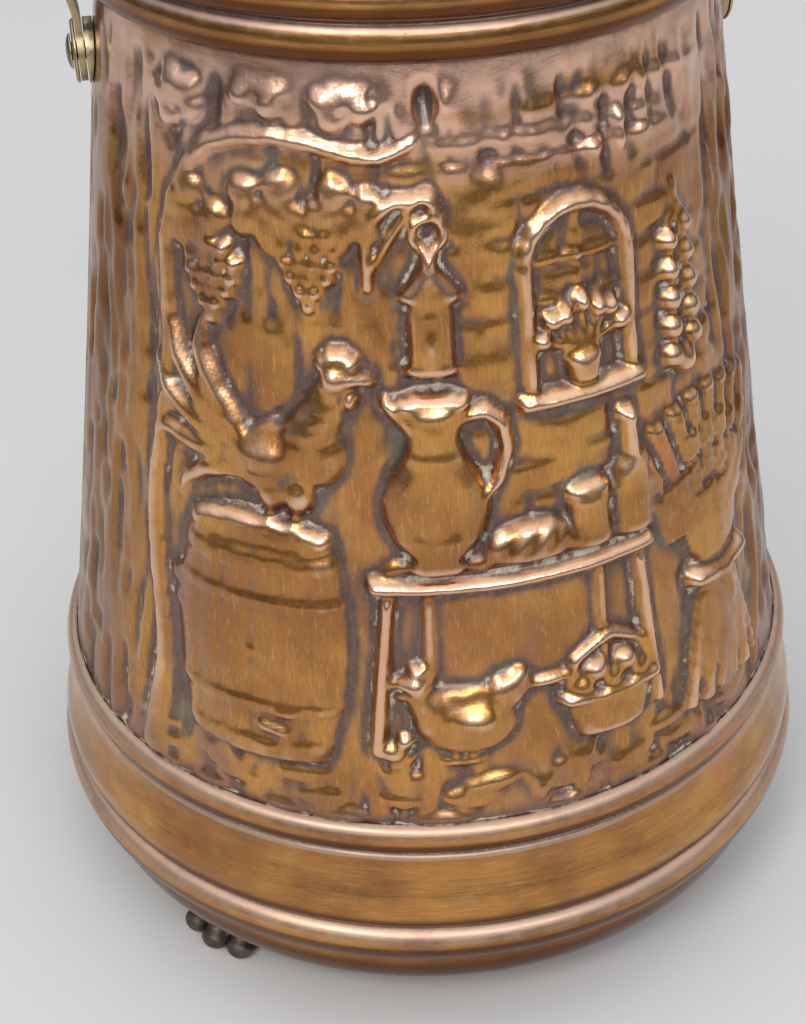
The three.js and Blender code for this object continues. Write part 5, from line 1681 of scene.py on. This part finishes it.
class SCUTTLE_OT_ears(ScuttleOperator):
    """Ear bosses, rosettes, rivets and backing plates"""
    bl_idname = "scuttle.ears"
    bl_label = "Ears"

    def make(self, sizes):
        rosette = [(2.9, 93.6), (8.8, 93.6), (8.8, 94.1), (8.3, 94.6), (7.8, 94.65), (7.3, 94.2),
                   (6.3, 94.2),
                   (5.8, 94.7), (2.9, 94.7)]
        head = [(5 * math.cos(a), 95 + 1.6 * math.sin(a)) for a in np.radians(np.linspace(0, 90, 10))]
        head[-1] = (0, 96.6)
        rivet = [(0, 81.2), (4, 81.2), (5, 82.6), (5, 83.4), (2.5, 83.4), (2.5, 95), *head]
        brass = finish_named("brass_fittings")
        for name, side in (("right", 1), ("left", -1)):
            place = along_x(0, PIVOT_LEVEL, side)
            made = turned_piece(f"rosette_{name}", rosette, place, 72, 0.18, closed=True)
            dress(made, "bucket", brass, [f"ear_rosette_{name}"])
            made = turned_piece(f"rivet_{name}", rivet, place, 48, 0.15)
            dress(made, "bucket", brass, [f"pivot_rivet_{name}"])
            self.wedge(name, side, place, brass)
            self.plate(name, side, place)

    def wedge(self, name, side, place, finish):
        """The boss: a disc whose inner face follows the cone of the wall."""
        bm = bmesh.new()
        spin_section(bm, [(2.9, 80), (9, 80), (9, 91.1), (2.9, 91.1)], 72, True)
        bmesh.ops.transform(bm, matrix=place, verts=bm.verts[:])
        for vertex in bm.verts:
            if abs(vertex.co.x) < 81 * MM:
                radius = float(wall_radius(vertex.co.z / MM)) + 0.3
                depth = math.sqrt(radius ** 2 - (vertex.co.y / MM) ** 2)
                vertex.co.x = side * depth * MM
        soften_edges(bm, 0.3, 40)
        bmesh.ops.recalc_face_normals(bm, faces=bm.faces[:])
        piece = to_piece(bm, f"boss_{name}")
        mark_wear(piece, 0.8, 2)
        dress(piece, "bucket", finish, [f"ear_boss_{name}"])

    def plate(self, name, side, place):
        """The backing plate: a disc bent to the inside of the double wall."""
        bm = bmesh.new()
        rings = [(2.9, 0), (4.7, 0), (6.5, 0), (8.3, 0), (10, 0), (10, 1.5), (8.3, 1.5), (6.5, 1.5),
                 (4.7, 1.5), (2.9, 1.5)]
        spin_section(bm, rings, 64, True)
        bmesh.ops.transform(bm, matrix=place, verts=bm.verts[:])
        for vertex in bm.verts:
            outward = 1.5 - abs(vertex.co.x) / MM
            radius = float(wall_radius(vertex.co.z / MM)) - (2 * SHEET + 0.3) - 0.3 - outward
            vertex.co.x = side * math.sqrt(radius ** 2 - (vertex.co.y / MM) ** 2) * MM
        soften_edges(bm, 0.25, 40)
        bmesh.ops.recalc_face_normals(bm, faces=bm.faces[:])
        piece = to_piece(bm, f"backing_{name}")
        mark_wear(piece, 0.8, 2)
        dress(piece, "bucket", finish_named("steel_fixings"), [f"backing_plate_{name}"])


class SCUTTLE_OT_bail(ScuttleOperator):
    """Strap bail with its eyes and its bar"""
    bl_idname = "scuttle.bail"
    bl_label = "Bail"

    def make(self, sizes):
        dress(build_bail(), "bail", finish_named("bail_strap"), ["bail"])


class SCUTTLE_OT_grip(ScuttleOperator):
    """Turned wooden grip with its brass ferrules"""
    bl_idname = "scuttle.grip"
    bl_label = "Grip"

    def make(self, sizes):
        shoulder = 46.0
        belly = smooth_line([(9.2, -shoulder), (10.4, -34.5), (13.5, 0), (10.4, 34.5), (9.2, shoulder)], 56)
        grooved = []
        for radius, x in belly:
            ring = sum(0.7 * math.exp(-((abs(x) - at) / 0.6) ** 2) for at in (30, 33.5))
            grooved.append((radius - ring, x))
        outline = [(4, -52), (7, -52), (7, -shoulder), *grooved, (7, shoulder), (7, 52), (4, 52)]
        place = along_x(0, BAR_LEVEL)
        wood = turned_piece("grip_wood", outline, place, 72, 0.3, closed=True)
        dress(wood, "grip", finish_named("turned_wood"), ["grip"])
        cap = [(7.3, 46.3), (8.9, 46.3), (8.9, 48.2), (8.6, 48.6), (8.9, 49.0), (8.9, 53.0), (8.2, 53.7),
               (4, 53.7),
               (4, 52.3), (7.3, 52.3)]
        for name, side in (("right", 1), ("left", -1)):
            made = turned_piece(f"ferrule_cap_{name}", cap, along_x(0, BAR_LEVEL, side), 64, 0.18,
                                closed=True)
            dress(made, "grip", finish_named("brass_fittings"), [f"ferrule_{name}"])


class SCUTTLE_PT_panel(bpy.types.Panel):
    """Making steps and settings of the scuttle"""
    bl_idname = "SCUTTLE_PT_panel"
    bl_label = "Scuttle"
    bl_space_type = "VIEW_3D"
    bl_region_type = "UI"
    bl_category = "Scuttle"

    def draw(self, context):
        for settings in (context.scene.scuttle_sizes, context.scene.scuttle_colours):
            for name in settings.bl_rna.properties.keys():
                if name not in {"rna_type", "name"}:
                    self.layout.prop(settings, name)
        for step in STEPS:
            self.layout.operator(step.bl_idname)


STEPS = (
    SCUTTLE_OT_stage,
    SCUTTLE_OT_wall,
    SCUTTLE_OT_collar,
    SCUTTLE_OT_ring,
    SCUTTLE_OT_pan,
    SCUTTLE_OT_feet,
    SCUTTLE_OT_ears,
    SCUTTLE_OT_bail,
    SCUTTLE_OT_grip,
)
CLASSES = (ScuttleSizes, ScuttleColours, *STEPS, SCUTTLE_PT_panel)


def register():
    for item in CLASSES:
        bpy.utils.register_class(item)
    bpy.types.Scene.scuttle_sizes = bpy.props.PointerProperty(type=ScuttleSizes)
    bpy.types.Scene.scuttle_colours = bpy.props.PointerProperty(type=ScuttleColours)


def unregister():
    del bpy.types.Scene.scuttle_colours
    del bpy.types.Scene.scuttle_sizes
    for item in reversed(CLASSES):
        bpy.utils.unregister_class(item)


def main():
    register()
    for step in STEPS:
        group, name = step.bl_idname.split(".")
        getattr(getattr(bpy.ops, group), name)()


if __name__ == "__main__":
    main()
